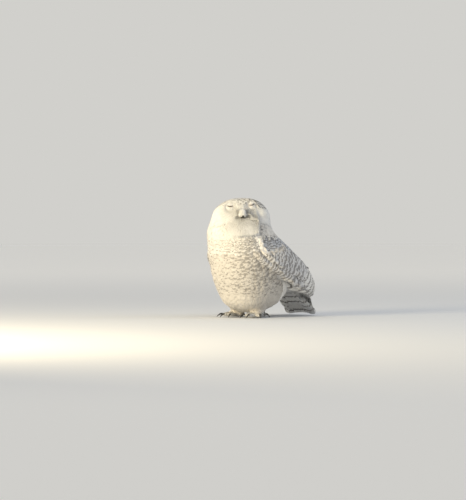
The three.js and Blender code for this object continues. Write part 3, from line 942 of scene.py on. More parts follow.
off_line = np.where(is_head, gap_to(coat.outer, coat.outer[is_neck]), gap_to(coat.outer, coat.outer[is_head]))
strays = (is_head | is_neck) & (dice.random(len(coat)) < 0.5 * smoothstep(0.011, 0.001, off_line))
is_crown = (is_head ^ strays) & ~is_face  # head and neck mix along their line, so that none shows
crown = coat.pick(is_crown)
growth = 1 + 0.5 * smoothstep(0.300, 0.255, crown.outer[:, 2])
growth -= 0.35 * smoothstep(-0.02, -0.05, crown.local[:, 1])
on_side = smoothstep(0.040, 0.050, crown.local[:, 0])  # the left side of the head, behind the disc
# Painted shade: the crown's feathers are darker on the left side behind the disc, away from the key light,
# and over the top of the crown.
painted_crown_shade = 1 - 0.13 * on_side
painted_crown_shade -= 0.20 * smoothstep(0.032, 0.044, crown.local[:, 2]) * (1 - on_side)
feathers("crown_feathers", crown, vanes(4, 16, CROWN_LENGTH, CROWN_WIDTH, 0.25, 0.3),
         CROWN_LENGTH * growth, CROWN_WIDTH * growth, soft_white, seed=22, ruffle=0.08, fall=2.0, arch=0.2,
         uneven=0.7, bright=painted_crown_shade)

# ---- Neck ----
# The loose ruff between head and body, longer and softer than the crown's feathers.

NECK_LENGTH = (0.015, 0.031)  # under the head, and over the breast
NECK_WIDTH = (0.0100, 0.0220)

ruff_white = plumage_finish("ruff feather", (0.77, 0.745, 0.71, 1.0), bar_share=0.50, drift=0.5)
height = coat.outer[:, 2] + dice.uniform(-0.013, 0.013, len(coat))  # no straight line over the mantle
is_mantle = is_neck & ~is_face & ~is_crown & (height < 0.262)
is_mantle &= around_body(coat.outer) > np.where(coat.outer[:, 0] > 0, 62, 75)
neck = coat.pick((is_neck ^ strays) & ~is_face & ~is_mantle)
lower = smoothstep(0.290, 0.215, neck.outer[:, 2])
near_bib = np.where(neck.local[:, 1] < 0, 0.45 * smoothstep(-0.030, -0.006, inside_disc(neck.local)), 0)
length, width = (np.interp(lower, (0, 1), size) * (1 - near_bib) for size in (NECK_LENGTH, NECK_WIDTH))
paler_and_shaded = 1 + 0.16 * smoothstep(0.245, 0.275, neck.outer[:, 2]) * smoothstep(0.03, -0.01, neck.local[:, 1])
# Painted shade: the neck's feathers are darker on the left side behind the disc, which lies away from the key
# light.
paler_and_shaded -= 0.12 * smoothstep(0.044, 0.052, neck.local[:, 0])
feathers("neck_feathers", neck, vanes(4, 36, NECK_LENGTH[0], NECK_WIDTH[0], 0.22, 0.35),
         length, width, ruff_white, seed=23, ruffle=0.05, fall=2.4, arch=0.10, uneven=0.5, bright=paler_and_shaded)

# ---- Breast, belly and flanks ----
# Broad soft feathers, white with narrow brown bars, fluffed out so that each stands a little off the next.

BREAST_LENGTH = 0.033
BREAST_WIDTH = 0.021
BACK_LINE = -0.028  # behind this the trunk's feathers are the back's, in Y

breast_white = plumage_finish("breast feather", (0.67, 0.635, 0.59, 1.0), bar_share=0.50, drift=0.5)
is_trunk = coat.parts == "trunk"
is_breast = is_trunk & (coat.outer[:, 1] < BACK_LINE)
breast = coat.pick(is_breast)
# Painted shade: the breast's feathers are darker on its left flank, the side turned away from the key light.
flank_shade = smoothstep(24, 62, around_body(breast.outer)) * (breast.outer[:, 0] > 0)  # on its left only
flank_shade *= smoothstep(0.22, 0.17, breast.outer[:, 2])
feathers("breast_feathers", breast, vanes(5, 34, BREAST_LENGTH, BREAST_WIDTH, 0.20, 0.35),
         BREAST_LENGTH, BREAST_WIDTH, breast_white, "barred_plumage", seed=24, ruffle=0.05, steps=4, fall=2.4,
         arch=0.08, uneven=0.55, bright=1 - 0.20 * flank_shade)

# ---- Vent and under tail ----
# Long loose white feathers from behind the legs to half way down the tail's lower side.

VENT_LENGTH = 0.040
VENT_WIDTH = 0.022

faces_down = coat.normals @ unit(np.array([0.0, -0.6, -0.8])) > 0.15
is_vent = is_trunk & ~is_breast & faces_down & (coat.outer[:, 2] < 0.16)
under_tail = (coat.parts == "tail") & faces_down & (coat.outer[:, 2] > 0.050)
feathers("vent_feathers", coat.pick(is_vent | under_tail), vanes(4, 20, VENT_LENGTH, VENT_WIDTH, 0.35, 0.4),
         VENT_LENGTH, VENT_WIDTH, soft_white, seed=33, steps=4, ruffle=0.08, fall=2.0, arch=0.15,
         mark_scale=0.12)

# ---- Back and rump ----
# Broad rounded feathers of mantle, shoulders and rump, white with heavier brown bars.

BACK_LENGTH = 0.036
BACK_WIDTH = 0.025

# Painted shade: the mantle's white is darkened to grey-blue, as the back lies in cool shade.
shaded_mantle_white = plumage_finish("mantle feather", (0.54, 0.555, 0.59, 1.0), bar_share=0.62)
back = coat.pick((is_trunk & ~is_breast & ~is_vent) | is_mantle)
growth = 1 - 0.35 * smoothstep(0.215, 0.255, back.outer[:, 2])
feathers("back_feathers", back, vanes(5, 36, BACK_LENGTH, BACK_WIDTH, 0.10, 0.15),
         BACK_LENGTH * growth, BACK_WIDTH * growth, shaded_mantle_white, "barred_plumage", seed=25, steps=4,
         ruffle=0.07, fall=1.8, arch=0.18)

# ---- Wing coverts ----
# Overlapping rounded feathers on the folded wing, small at the shoulder and larger behind, barred brown.

COVERT_LENGTH = 0.027
COVERT_WIDTH = 0.019

# Painted shade: the wing's white is darkened to a cool grey, as the folded wing lies in shade.
shaded_wing_white = plumage_finish("wing feather", (0.62, 0.615, 0.62, 1.0), bar_share=0.64)
SIDES = (("left", 1), ("right", -1))
for name, side in SIDES:
    inner_side = coat.normals[:, 0] * side < -0.1
    behind = (coat.parts == f"wing_{name}_secondaries") & (coat.outer[:, 1] > 0.045) & ~inner_side
    on_wing = coat.pick(np.char.startswith(coat.parts, f"wing_{name}") & ~behind)
    growth = 0.85 + 0.75 * smoothstep(-0.15, 0.06, on_wing.outer[:, 1])
    growth *= 1 - 0.55 * smoothstep(0.10, 0.13, on_wing.outer[:, 1])  # small ones inside the wing's end
    feathers(f"wing_{name}_covert_feathers", on_wing, vanes(5, 34, COVERT_LENGTH, COVERT_WIDTH, 0.07, 0.12),
             COVERT_LENGTH * growth, COVERT_WIDTH * growth, shaded_wing_white, "barred_plumage", seed=26,
             ruffle=0.05, swing=0.08, steps=4, fall=1.8, arch=0.18)

# ---- Legs and feet ----
# Legs and toes are hidden to the claws under dense, hair-like white feathers.

LEG_LENGTH, LEG_WIDTH = 0.012, 0.006
FOOT_LENGTH, FOOT_WIDTH = 0.0075, 0.0036
SOLE = 0.004  # no feathers root below this

leg_tufts = [tuft(5, 0.7, seed) for seed in range(4)]
legs = coat.pick(np.char.startswith(coat.parts, "leg"))
feet = coat.pick(np.char.startswith(coat.parts, "foot") & (coat.outer[:, 2] > SOLE))
feathers("leg_feathers", legs, leg_tufts, LEG_LENGTH, LEG_WIDTH, soft_white, seed=28, ruffle=0.2, steps=2)
feathers("foot_feathers", feet, leg_tufts, FOOT_LENGTH, FOOT_WIDTH, soft_white, seed=29, ruffle=0.2, steps=2)

# ---- Eyes ----
# Each eye is a wet ball, yellow round a black pupil, bulging a little in front. It looks out through a slit.

GAZE = unit(np.array([0.20, -0.97, 0.10]))  # of the left eye, in the head's frame
EYE_SLANT = math.radians(12)  # how far the outer corner of the lids is turned up
CORNEA_EDGE = math.radians(38)
CORNEA_BULGE = 0.0008


def eye_axes(side):
    """The gaze, the way to the outer corner and the way up, for the eye on side 1 (left) or -1."""
    gaze = GAZE * (side, 1, 1)
    outer = unit(np.cross(gaze, (0, 0, -side))) * math.cos(EYE_SLANT) + np.array([0, 0, math.sin(EYE_SLANT)])
    outer = unit(outer - gaze * (outer @ gaze))
    up = np.cross(gaze, outer)
    up = up if up[2] > 0 else -up
    return np.stack([gaze, outer, up]) @ HEAD_AXES.T


def ring_quads(rings, sides, first=0):
    """Four-sided faces between rings of points, of which the first starts at a number."""
    quads = []
    for a in range(first, first + (rings - 1) * sides, sides):
        for j in range(sides):
            k = (j + 1) % sides
            quads.append((a + j, a + sides + j, a + sides + k, a + k))
    return quads


def solid_piece(name, points, faces, material, replaced=()):
    """A smooth mesh in its place, with its material, and the nodes that it stands for hidden."""
    mesh = bpy.data.meshes.new(name)
    mesh.from_pydata(points.tolist(), [], faces)
    mesh.polygons.foreach_set("use_smooth", np.ones(len(faces), bool))
    piece = dressed(linked(name, mesh), material)
    if replaced:
        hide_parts(*replaced)
    return piece


iris_finish, nodes, sockets = finish("iris", (0.86, 0.52, 0.03), 0.08, Coat_Weight=1.0, Coat_Roughness=0.02)
turn = nodes.attribute("gaze_angle", "Fac")
streaks = nodes.mix(nodes.noise(700.0, 3.0), (0.78, 0.42, 0.02, 1), (0.95, 0.66, 0.08, 1))
ringed = nodes.mix(nodes.ramp(0.62, 0.72, turn), streaks, (0.05, 0.03, 0.02, 1))
nodes.plug(sockets["Base Color"], nodes.mix(nodes.ramp(0.32, 0.28, turn), ringed, (0.004, 0.004, 0.005, 1)))

EYE_SIDES, EYE_RINGS = 40, 28
for name, side in SIDES:
    axes = eye_axes(side)
    angles = np.linspace(0, math.pi, EYE_RINGS + 2)[1:-1]
    rounds = np.linspace(0, 2 * math.pi, EYE_SIDES, endpoint=False)
    polar, azimuth = np.meshgrid(angles, rounds, indexing="ij")
    bulge = EYE_RADIUS + CORNEA_BULGE * np.clip(1 - (polar / CORNEA_EDGE) ** 2, 0, 1)
    spot = np.stack([np.cos(polar), np.sin(polar) * np.cos(azimuth), np.sin(polar) * np.sin(azimuth)], -1)
    points = (spot * bulge[..., None]).reshape(-1, 3)
    points = np.concatenate([[[EYE_RADIUS + CORNEA_BULGE, 0, 0]], points, [[-EYE_RADIUS, 0, 0]]])
    ball = ring_quads(EYE_RINGS, EYE_SIDES, 1)
    for j in range(EYE_SIDES):
        k = (j + 1) % EYE_SIDES
        ball.append((0, 1 + j, 1 + k))
        ball.append((len(points) - 1, len(points) - 1 - EYE_SIDES + k, len(points) - 1 - EYE_SIDES + j))
    if np.linalg.det(axes) < 0:
        ball = [face[::-1] for face in ball]
    eyeball = solid_piece(f"eyeball_{name}", points @ axes + EYES[name], ball, iris_finish,
                          [f"eye_{name}"])
    turns = np.concatenate([[0.0], polar.ravel(), [math.pi]]).astype(np.float32)
    eyeball.data.attributes.new("gaze_angle", "FLOAT", "POINT").data.foreach_set("value", turns)

# ---- Eyelids ----
# Thick soft lids, nearly shut, that slide over the ball. Their edges are bare and black, and the rest is
# folded skin under the smallest feathers of all, which run away from the slit.

SLIT_HALF = 0.0124
SLIT_OPEN = 0.0002  # half of it, at the middle
SLIT_SAG = 0.0086  # how far the middle of the slit lies under the line between its corners
SLIT_RISE = 0.0085  # how far those corners lie over the gaze line
LID_REACH = 0.0180  # from the gaze line to the lid's outer edge, over the ball
LID_STEPS = np.array([
    (0.0, 0.0122), (0.0, 0.0132), (0.03, 0.0138), (0.07, 0.0140), (0.11, 0.0139), (0.18, 0.0141),
    (0.26, 0.0145), (0.33, 0.0143), (0.45, 0.0146), (0.60, 0.0147), (0.80, 0.0145), (1.0, 0.0136),
])  # the share of the way out from the slit, and how far from the eye's middle
LID_SIDES = 72
LID_THICK = 0.0004
LID_TUFTS = 1400
LID_TUFT_WIDTH = 0.0022
LID_TUFT_TRACK = [(0.0, 0.0142), (0.22, 0.0151), (0.5, 0.0154)]  # in the same way, from where it starts

lid_finish, nodes, sockets = finish("eyelid skin", (0.5, 0.47, 0.44), 0.6)
from_slit = nodes.math("MULTIPLY_ADD", nodes.noise(500.0), 0.08, nodes.attribute("from_slit", "Fac"))
lid_colour = nodes.mix(nodes.noise(300.0), (0.56, 0.53, 0.50, 1), (0.74, 0.71, 0.68, 1))
bare_edge = nodes.mix(nodes.ramp(0.135, 0.095, from_slit), lid_colour, (0.012, 0.010, 0.010, 1))
nodes.plug(sockets["Base Color"], bare_edge)
nodes.plug(sockets["Normal"], nodes.bump(nodes.noise(1500.0, 3.0), 0.5, 0.0003))


def lid_place(centre, axes, angle, t, radius):
    """A place on the lids: at an angle round the slit, a share t of the way out, so far from the centre."""
    sag = SLIT_SAG * (1 - np.cos(angle) ** 2)
    near = np.stack([SLIT_HALF * np.cos(angle), SLIT_OPEN * np.sin(angle) - sag + SLIT_RISE], -1)
    far = LID_REACH * np.stack([np.cos(angle), np.sin(angle)], -1)
    flat = (near + (far - near) * np.asarray(t)[..., None]) / EYE_RADIUS
    span = np.linalg.norm(flat, axis=-1, keepdims=True)
    way = np.concatenate([np.cos(span), flat / np.maximum(span, 1e-9) * np.sin(span)], -1)
    return centre + (way @ axes) * np.asarray(radius)[..., None]


for name, side in SIDES:
    axes = eye_axes(side)
    rounds = np.linspace(0, 2 * math.pi, LID_SIDES, endpoint=False)
    step, angle = np.meshgrid(np.arange(len(LID_STEPS)), rounds, indexing="ij")
    share, radius = LID_STEPS[step, 0], LID_STEPS[step, 1]
    points = lid_place(EYES[name], axes, angle, share, radius).reshape(-1, 3)
    quads = ring_quads(len(LID_STEPS), LID_SIDES)
    if np.linalg.det(axes) < 0:
        quads = [q[::-1] for q in quads]
    lids = solid_piece(f"eyelids_{name}", points, quads, lid_finish)
    lids.data.attributes.new("from_slit", "FLOAT", "POINT").data.foreach_set(
        "value", share.ravel().astype(np.float32)
    )
    thickness = lids.modifiers.new("thickness", "SOLIDIFY")
    thickness.thickness, thickness.offset = LID_THICK, -1.0

    vary = np.random.default_rng(31)
    angle = vary.uniform(0, 2 * math.pi, LID_TUFTS)
    start = vary.uniform(0.15, 0.95, LID_TUFTS)
    track = np.stack([
        lid_place(EYES[name], axes, angle, start + ahead, radius) for ahead, radius in LID_TUFT_TRACK
    ], 1)
    none = np.zeros(LID_TUFTS)
    tones = np.stack([vary.uniform(0.93, 1.05, LID_TUFTS), none, vary.random(LID_TUFTS)], 1)
    lid_tufts = grown(f"eyelid_{name}_feathers", [tuft(4, 0.8, seed) for seed in range(3)], track,
                      unit(track - EYES[name]), LID_TUFT_WIDTH, none + 0.0003, none, np.zeros((LID_TUFTS, 3)),
                      tones, 32, vary.normal(0, 0.2, LID_TUFTS))
    dressed(lid_tufts, face_white)

# ---- Bill ----
# A short, deep, hooked bill of smooth black horn: a ridged upper half whose tip bends down over the lower.

UPPER_BILL = {"spine": [(0, -58, 3), (0, -81, 3), (0, -89, -5), (0, -90, -20)], "high": [9, 8.5, 6.2, 0.9],
              "wide": [8.5, 7.5, 5.6, 0.9]}  # mm, in the head's frame; high and wide are half sizes
LOWER_BILL = {"spine": [(0, -56, -10), (0, -74, -13), (0, -82, -15.5)], "high": [4, 3.6, 1.2],
              "wide": [7, 6, 1.6]}
BILL_THINNEST = 0.3
BILL_SIDES, BILL_RINGS = 28, 26
RIDGE_TURN = 0.35  # how far round the bill its ridge reaches, in radians


def curve_through(points, shares):
    """Values on a smooth curve through the points, or through single numbers, at shares from 0 to 1."""
    points = np.asarray(points, float)
    ends = np.concatenate([[2 * points[0] - points[1]], points, [2 * points[-1] - points[-2]]])
    at = np.clip(np.asarray(shares) * (len(points) - 1), 0, len(points) - 1 - 1e-9)
    low = at.astype(int)
    t = (at - low)[:, None] if points.ndim > 1 else at - low
    a, b, c, d = ends[low], ends[low + 1], ends[low + 2], ends[low + 3]
    second, third = 2 * a - 5 * b + 4 * c - d, 3 * b - a - 3 * c + d
    return 0.5 * (2 * b + (c - a) * t + second * t ** 2 + third * t ** 3)


horn_finish, nodes, sockets = finish("black horn", (0.016, 0.014, 0.013), 0.28, Coat_Weight=0.3,
                                     Coat_Roughness=0.15)
wear = nodes.ramp(0.45, 0.75, nodes.noise(160.0, 4.0))
nodes.plug(sockets["Base Color"], nodes.mix(wear, (0.013, 0.012, 0.012, 1), (0.055, 0.048, 0.042, 1)))
nodes.plug(sockets["Roughness"], nodes.math("MULTIPLY_ADD", wear, 0.25, 0.25))
nodes.plug(sockets["Normal"], nodes.bump(nodes.noise(420.0, 5.0), 0.25, 0.0004))


def horn_piece(name, node, ridge, spine, high, wide):
    """A tapering closed piece of horn along a spine, with a ridge along its top."""
    shares = np.linspace(0, 1, BILL_RINGS)
    middle = curve_through(spine, shares)
    along = unit(np.gradient(middle, axis=0))
    across = np.array([1.0, 0, 0])
    up = unit(np.cross(along, across))
    up = np.where(up[:, 2:] + up[:, 1:2] * -0.5 < 0, -up, up)
    highs = np.maximum(curve_through(high, shares), BILL_THINNEST)
    wides = np.maximum(curve_through(wide, shares), BILL_THINNEST)
    angle = np.linspace(0, 2 * math.pi, BILL_SIDES, endpoint=False)
    swell = 1 + ridge * np.exp(-((angle - math.pi / 2) / RIDGE_TURN) ** 2)
    flat = np.cos(angle)[None, :, None] * wides[:, None, None] * across
    tall = (np.sin(angle) * swell)[None, :, None] * highs[:, None, None] * up[:, None]
    points = (middle[:, None] + flat + tall).reshape(-1, 3)
    points = np.concatenate([points, [middle[0], middle[-1] + along[-1] * BILL_THINNEST]])
    faces = ring_quads(BILL_RINGS, BILL_SIDES)
    last = (BILL_RINGS - 1) * BILL_SIDES
    faces += [(j, (j + 1) % BILL_SIDES, len(points) - 2) for j in range(BILL_SIDES)]
    faces += [(last + (j + 1) % BILL_SIDES, last + j, len(points) - 1) for j in range(BILL_SIDES)]
    horn = solid_piece(name, from_head(points / 1000), faces, horn_finish, [node])
    shell = bmesh.new()
    shell.from_mesh(horn.data)
    bmesh.ops.recalc_face_normals(shell, faces=shell.faces)
    shell.to_mesh(horn.data)
    shell.free()


horn_piece("upper_bill", "bill_upper", 0.22, **UPPER_BILL)
horn_piece("lower_bill", "bill_lower", 0.0, **LOWER_BILL)

# ---- Bristles ----
# Stiff, hair-thin feathers from the corners between eyes and bill. They sweep forward and down and hide the
# bill's root and the sides of the mouth. Others lie along the bill itself, like a sleeve.

BRISTLES = 900
BRISTLE_LENGTH = 0.016
BRISTLE_WIDTH = 0.0034
BRISTLE_SHARES = np.array([0, 0.35, 0.7, 1.0])  # of its length, where its course is worked out
SLEEVE_CLOSE, SLEEVE_LOOSE, SLEEVE_FLARE = 0.3, 0.4, 1.2  # mm, how far the sleeve stands off the bill

vary = np.random.default_rng(41)
angle = vary.uniform(-2.5, 2.5, BRISTLES)  # round the bill, from its top
reach = vary.uniform(0.0055, 0.0100, BRISTLES)
start = np.stack([reach * np.sin(angle), np.full(BRISTLES, -0.12), 0.001 + reach * np.cos(angle) * 0.9], 1)
found, _, hit = plumage.struck(from_head(start), np.tile(HEAD_AXES @ (0, 1.0, 0), (BRISTLES, 1)))
rooted = in_head(found[hit]) + np.array([0, 0.002, 0])
rooted = rooted[rooted[:, 2] > -0.007]
side_of = rooted[:, :1] / 0.02
forward = smoothstep(0.016, 0.008, np.linalg.norm(rooted[:, [0, 2]], axis=1))[:, None]
aim = np.concatenate([side_of * 0.15, -0.12 - 0.28 * forward, np.full_like(side_of, -0.48)], 1)
aim = unit(aim + vary.normal(0, 0.10, aim.shape))
bend = np.array([0.0, 0.45, -0.75]) + np.concatenate([-side_of * 1.5, side_of * 0, side_of * 0], 1)
length = BRISTLE_LENGTH * vary.uniform(0.6, 1.0, len(rooted))
length = np.minimum(length, (rooted[:, 2] + GAPE_LOW) / 0.80)[:, None]  # none hangs over the gape
track = np.stack([rooted + aim * length * t + bend * length * t * t * 0.45 for t in BRISTLE_SHARES], 1)
vary.random((3, len(rooted)))  # drawn and left, so that the draws below stay as they are
around = vary.normal(0, 0.9, BRISTLES).clip(-2.0, 2.0)[:, None]  # round the bill, from its ridge
first = vary.uniform(0.05, 0.60, BRISTLES)
last = np.minimum(first + vary.uniform(0.30, 0.44, BRISTLES), 0.90)
sleeve = []
for t in BRISTLE_SHARES:
    shares = first + (last - first) * t
    behind, spine, ahead = (curve_through(UPPER_BILL["spine"], shares + step) for step in (-0.02, 0, 0.02))
    ahead = unit(ahead - behind)
    ridge = np.stack([np.zeros(BRISTLES), ahead[:, 2], -ahead[:, 1]], 1)
    high, wide = (curve_through(UPPER_BILL[size], shares)[:, None] for size in ("high", "wide"))
    over = SLEEVE_CLOSE + SLEEVE_CLOSE * t + SLEEVE_LOOSE * vary.random((BRISTLES, 1))
    sleeve.append(spine + ridge * np.cos(around) * (high * 1.15 + over)
                  + np.array([1.0, 0, 0]) * np.sin(around) * (wide + over + SLEEVE_FLARE * t))
track = np.concatenate([track, np.stack(sleeve, 1) / 1000])
facing = unit(track - np.array([0, -0.06, -0.004]))
count = len(track)
tones = np.stack([vary.uniform(0.90, 1.04, count), vary.uniform(0, 0.15, count), vary.random(count)], 1)
bristles = grown("bristle_feathers", [tuft(6, 0.9, seed, 3) for seed in range(4)], from_head(track),
                 facing @ HEAD_AXES.T, BRISTLE_WIDTH, np.zeros(count), np.zeros(count), np.zeros((count, 3)),
                 tones, 42, vary.normal(0, 0.3, count))
dressed(bristles, face_white)

# ---- Flight feathers of the wings ----
# Long stiff quills with a pale shaft between two flat vanes, white with brown bars. Each upper one of the
# folded wing lies over the one below and ends before it. The wing-tip quills come out under them and run
# beside the tail, in place of the solid blades there.

SECONDARIES = {"spine": [(106, -69, 158), (116, -5, 142), (108, 63, 120), (89, 123, 99), (60, 169, 78)],
               "half": [28, 42, 42, 34, 20]}
PRIMARIES = {"spine": [(118, -35, 120), (116, 23, 105), (101, 83, 88), (76, 139, 68), (44, 189, 42)],
             "count": 9, "fan": 19.0, "shorter": 62.0, "lean": 5.0}  # over the whole stack, lowest to highest
SECONDARY_QUILLS = 13
QUILL_POINTS = 14
QUILL_PATCH = 0.02  # the side of a quill's own place on the bake map
QUILL_BLUNT = 0.80  # the share of its length from which a quill narrows to its tip
QUILL_LEAD = 0.75  # the front vane's width, against the back one's


def quill(rows, seed):
    """A stiff feather as a closed blade: a raised shaft between two vanes, with splits in their edges."""
    vary = np.random.default_rng(seed)
    across = np.array([-1.0, -0.5, -0.07, 0.0, 0.07, 0.5, 1.0])
    ridge = np.array([0.0, 0.02, 0.03, 0.09, 0.03, 0.02, 0.0])
    v = np.linspace(0, 1, rows)
    wide = 0.35 + 0.65 * smoothstep(0.0, 0.3, v)
    to_tip = np.clip(v - QUILL_BLUNT, 0, 1) / (1.002 - QUILL_BLUNT)
    wide = wide * np.sqrt(np.clip(1 - to_tip ** 2.4, 0.0, 1))
    wide = np.maximum(wide, 0.03)
    nicks = 1 - vary.uniform(0, 0.07, (rows, 2)) - 0.16 * (vary.random((rows, 2)) > 0.86)
    u = across[None] * wide[:, None]
    u[:, 0] *= nicks[:, 0] * QUILL_LEAD
    u[:, 1] *= QUILL_LEAD
    u[:, -1] *= nicks[:, 1]
    top = np.stack([u, np.repeat(v[:, None], 7, 1), ridge[None] * wide[:, None] + 0.02], -1).reshape(-1, 3)
    under = top * (1, 1, 0) - (0, 0, 0.02)
    points = np.concatenate([top, under])
    quads = []
    for i in range(rows - 1):
        for j in range(6):
            a, b = i * 7 + j, (i + 1) * 7 + j
            quads.append((a, a + 1, b + 1, b))
            quads.append((a + 7 * rows, b + 7 * rows, b + 1 + 7 * rows, a + 1 + 7 * rows))
        for j in (0, 6):
            a, b = i * 7 + j, (i + 1) * 7 + j
            rim = (a, b, b + 7 * rows, a + 7 * rows)
            quads.append(rim if j == 0 else rim[::-1])
    for i in (0, rows - 1):
        for j in range(6):
            a = i * 7 + j
            rim = (a, a + 7 * rows, a + 1 + 7 * rows, a + 1)
            quads.append(rim if i == 0 else rim[::-1])
    triangles = np.array([t for q in quads for t in ((q[0], q[1], q[2]), (q[0], q[2], q[3]))])
    return points, triangles


STEEPEST = 0.55  # what a quill falls towards the outline in each metre along it, at most


def cast_tracks(lines, toward):
    """The lines (n, m, 3) dropped onto the outline; past its edge, or where it falls away, they run on."""
    flat = lines.reshape(-1, 3)
    toward = unit(np.array(toward, float))
    found, normal, hit = plumage.struck(flat - toward * 0.12, np.broadcast_to(toward, flat.shape))
    found, normal = found.reshape(lines.shape), normal.reshape(lines.shape)
    hit = hit.reshape(lines.shape[:2])
    for i in range(1, lines.shape[1]):
        lost = ~hit[:, i]
        found[lost, i] = lines[lost, i] + found[lost, i - 1] - lines[lost, i - 1]
        step = found[:, i] - found[:, i - 1]
        sunk_by = step @ toward
        level = np.linalg.norm(step - sunk_by[:, None] * toward, axis=1)
        too_far = sunk_by - np.clip(sunk_by, -STEEPEST * level, STEEPEST * level)
        found[:, i] -= too_far[:, None] * toward
        kept_on = lost | (np.abs(too_far) > 1e-4)
        normal[kept_on, i] = normal[kept_on, i - 1]
    return found, normal


def evened_tracks(tracks, passes):
    for _ in range(passes):
        tracks[:, 1:-1] = 0.5 * tracks[:, 1:-1] + 0.25 * (tracks[:, :-2] + tracks[:, 2:])
    return tracks


def leaf_lines(leaf, side, places, last_places, starts, ends):
    """Lines along a folded mass of feathers, each at its own height in it, over its own stretch."""
    lines = []
    for first_place, last_place, start, end in zip(places, last_places, starts, ends):
        shares = np.linspace(start, end, QUILL_POINTS)
        place = np.linspace(first_place, last_place, QUILL_POINTS)
        middle = curve_through(leaf["spine"], shares) / 1000
        half = curve_through(leaf["half"], shares) / 1000
        along = unit(np.gradient(middle, axis=0) * (0, 1, 1))
        up = np.stack([along[:, 0], -along[:, 2], along[:, 1]], 1)
        line = middle + up * (place * half)[:, None]
        lines.append(line * (side, 1, 1))
    return np.array(lines)


quill_finish = plumage_finish("barred quill", barb_lines=260.0, barb_height=0.00015, bars_from=0.1,
                              ragged=0.03)
quill_shapes = [quill(26, seed) for seed in range(5)]
outward = unit(np.array([1.0, 0.18, 0.30]))
for name, side in SIDES:
    vary = np.random.default_rng(51)
    order = np.linspace(0, 1, PRIMARIES["count"])[:, None]
    run = np.linspace(0, 1, QUILL_POINTS)[None]
    spine = curve_through(PRIMARIES["spine"], run[0])
    blades = np.stack([
        (spine[:, 0] - PRIMARIES["lean"] * order * (1 - run)) * side,
        spine[:, 1] - PRIMARIES["shorter"] * order * run,
        spine[:, 2] + PRIMARIES["fan"] * order * (1 - 0.35 * run),
    ], -1) / 1000
    blade_normals = np.broadcast_to(outward * (side, 1, 1), blades.shape)

    count = SECONDARY_QUILLS
    lines = leaf_lines(SECONDARIES, side, np.linspace(0.85, -0.92, count), np.linspace(0.55, -0.85, count),
                       np.linspace(0.50, 0.20, count), np.linspace(0.90, 1.0, count))
    tracks, normals = cast_tracks(lines[::-1], (-side, 0.0, 0.0))
    tracks = evened_tracks(tracks, 3)
    tracks[..., 0] -= side * 0.006 * smoothstep(0.75, 1.0, run)  # the ends close in over the blunt end
    normals = unit(evened_tracks(normals, 6))
    tracks = tracks + normals * np.linspace(0.0006, 0.0034, count)[:, None, None]

    tracks, normals = np.concatenate([blades, tracks]), np.concatenate([blade_normals, normals])
    width = np.concatenate([np.full(len(blades), 0.021), np.linspace(0.024, 0.031, count)])
    depth = np.concatenate([np.full(len(blades), 0.001), np.full(count, 0.008)])
    count = len(tracks)
    marks = np.stack([np.full(count, 0.28), np.full(count, 6.0), np.zeros(count)], 1)
    tones = np.stack([vary.uniform(0.9, 1.0, count), np.full(count, 0.08), vary.random(count)], 1)
    flights = grown(f"wing_{name}_quill_feathers", quill_shapes, tracks, normals, width, depth,
                    np.zeros(count), marks, tones, 52, np.full(count, 0.07 * side), arch=0.10, fall=5.0,
                    patch=QUILL_PATCH)
    dressed(flights, quill_finish)
    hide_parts(f"wing_{name}_primaries")

# ---- Tail feathers ----
# Twelve broad quills, closed like a fan with the middle pair on top, white with brown bars. Each is made as
# an upper and a lower blade, on the two sides of the tail's flesh, that meet at the tip.

TAIL = {"spine": [(0, 71, 122), (0, 127, 88), (0, 167, 47), (0, 197, 6)], "spread": (7.0, 9.0)}  # mm
TAIL_QUILLS = 12
TAIL_QUILL_WIDTH = 0.034

shares = np.linspace(0.32, 1.0, QUILL_POINTS)
middle = curve_through(TAIL["spine"], shares) / 1000
place = np.arange(TAIL_QUILLS) - (TAIL_QUILLS - 1) / 2
step = np.linspace(*TAIL["spread"], QUILL_POINTS) / 1000
place = place[np.argsort(-np.abs(place), kind="stable")]  # the outer ones first, and lowest
lines = middle[None] + np.array([1.0, 0, 0]) * (place[:, None] * step[None])[..., None]
ends_meet = (0.5 * smoothstep(0.45, 0.95, np.linspace(0, 1, QUILL_POINTS)))[None, :, None]
sheets = [cast_tracks(lines, (0.0, -0.6, -0.8)), cast_tracks(lines, (0.0, 0.6, 0.8))]
upper, lower = [evened_tracks(sheet[0], 3) for sheet in sheets]
tracks = np.concatenate([upper + ends_meet * (lower - upper), lower + ends_meet * (upper - lower)])
normals = np.concatenate([unit(evened_tracks(sheet[1], 6)) for sheet in sheets])
place = np.concatenate([place, place])
tracks = tracks + normals * (0.0010 + 0.0004 * (6 - np.abs(place)))[:, None, None] * (1 - ends_meet)
vary = np.random.default_rng(61)
count = len(tracks)
marks = np.tile([0.26, 5.0, 0.0], (count, 1))
tones = np.stack([vary.uniform(0.92, 1.0, count), np.full(count, 0.05), vary.random(count)], 1)
tones = np.tile(tones[:TAIL_QUILLS], (2, 1))  # both blades of a quill are alike
tail_quills = grown("tail_quill_feathers", quill_shapes, tracks, normals, TAIL_QUILL_WIDTH,
                    np.repeat([0.012, 0.004], TAIL_QUILLS), np.zeros(count), marks, tones, 62,
                    -0.05 * np.sign(place), arch=0.08, fall=5.0, patch=QUILL_PATCH)
dressed(tail_quills, quill_finish)

# ---- Claws ----
# Long curved black claws of horn, one at the end of each feathered toe.

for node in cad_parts:
    if node.startswith("claw"):
        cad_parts[node].material_slots[0].material = horn_finish

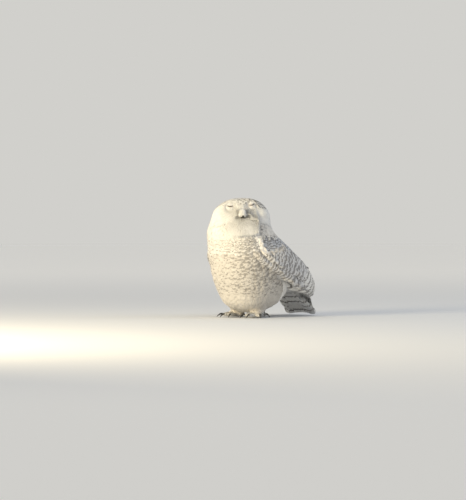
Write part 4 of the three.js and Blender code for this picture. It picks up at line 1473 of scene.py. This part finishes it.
# ---- Floor and light ----
# A pale studio floor under a large warm key light on the owl's front, with an even cool fill.

FLOOR_RADIUS = 9.0
ring = np.linspace(0, 2 * math.pi, 96, endpoint=False)
floor_mesh = bpy.data.meshes.new("floor")
corners = [(FLOOR_RADIUS * math.cos(a), FLOOR_RADIUS * math.sin(a), 0.0) for a in ring]
floor_mesh.from_pydata(corners, [], [list(range(len(ring)))])
floor = linked("floor", floor_mesh)
floor_finish, nodes, sockets = finish("studio floor", (0.88, 0.875, 0.86), 0.9)
distance = nodes.tree.nodes.new("ShaderNodeVectorMath")
distance.operation = "LENGTH"
nodes.plug(distance.inputs[0], nodes.tree.nodes.new("ShaderNodeTexCoord").outputs["Object"])
# Painted light: the floor is bluer near the owl, against the warm key, and whiter far off, against the key's
# fall-off, so that it fades into the backdrop.
far_off = nodes.ramp(0.8, 5.0, distance.outputs["Value"])
nodes.plug(sockets["Base Color"], nodes.mix(far_off, (0.72, 0.74, 0.78, 1), (0.985, 0.985, 0.985, 1)))
floor.data.materials.append(floor_finish)

world = bpy.data.worlds.new("studio")
bpy.context.scene.world = world
world.use_nodes = True
world.node_tree.nodes["Background"].inputs["Color"].default_value = (0.638, 0.631, 0.604, 1.0)
world.node_tree.nodes["Background"].inputs["Strength"].default_value = 1.0
LIT = Vector((0, 0, 0.2))  # what the lamps are aimed at


def lamp(name, turn, rise, far, size, power, colour):
    """A square soft light."""
    light = bpy.data.lights.new(name, "AREA")
    light.energy, light.size, light.color = power, size, colour
    holder = linked(name, light)
    turn, rise = math.radians(turn), math.radians(rise)
    toward = Vector((math.sin(turn) * math.cos(rise), -math.cos(turn) * math.cos(rise), math.sin(rise)))
    holder.location = LIT + toward * far
    holder.rotation_mode = "QUATERNION"
    holder.rotation_quaternion = toward.to_track_quat("Z", "Y")


lamp("key", -4, 15, 3.0, 1.0, 82, (1.0, 0.835, 0.52))
lamp("fill", 125, 30, 3.0, 1.6, 11, (0.62, 0.78, 1.0))
bpy.context.scene.view_settings.view_transform = "Standard"
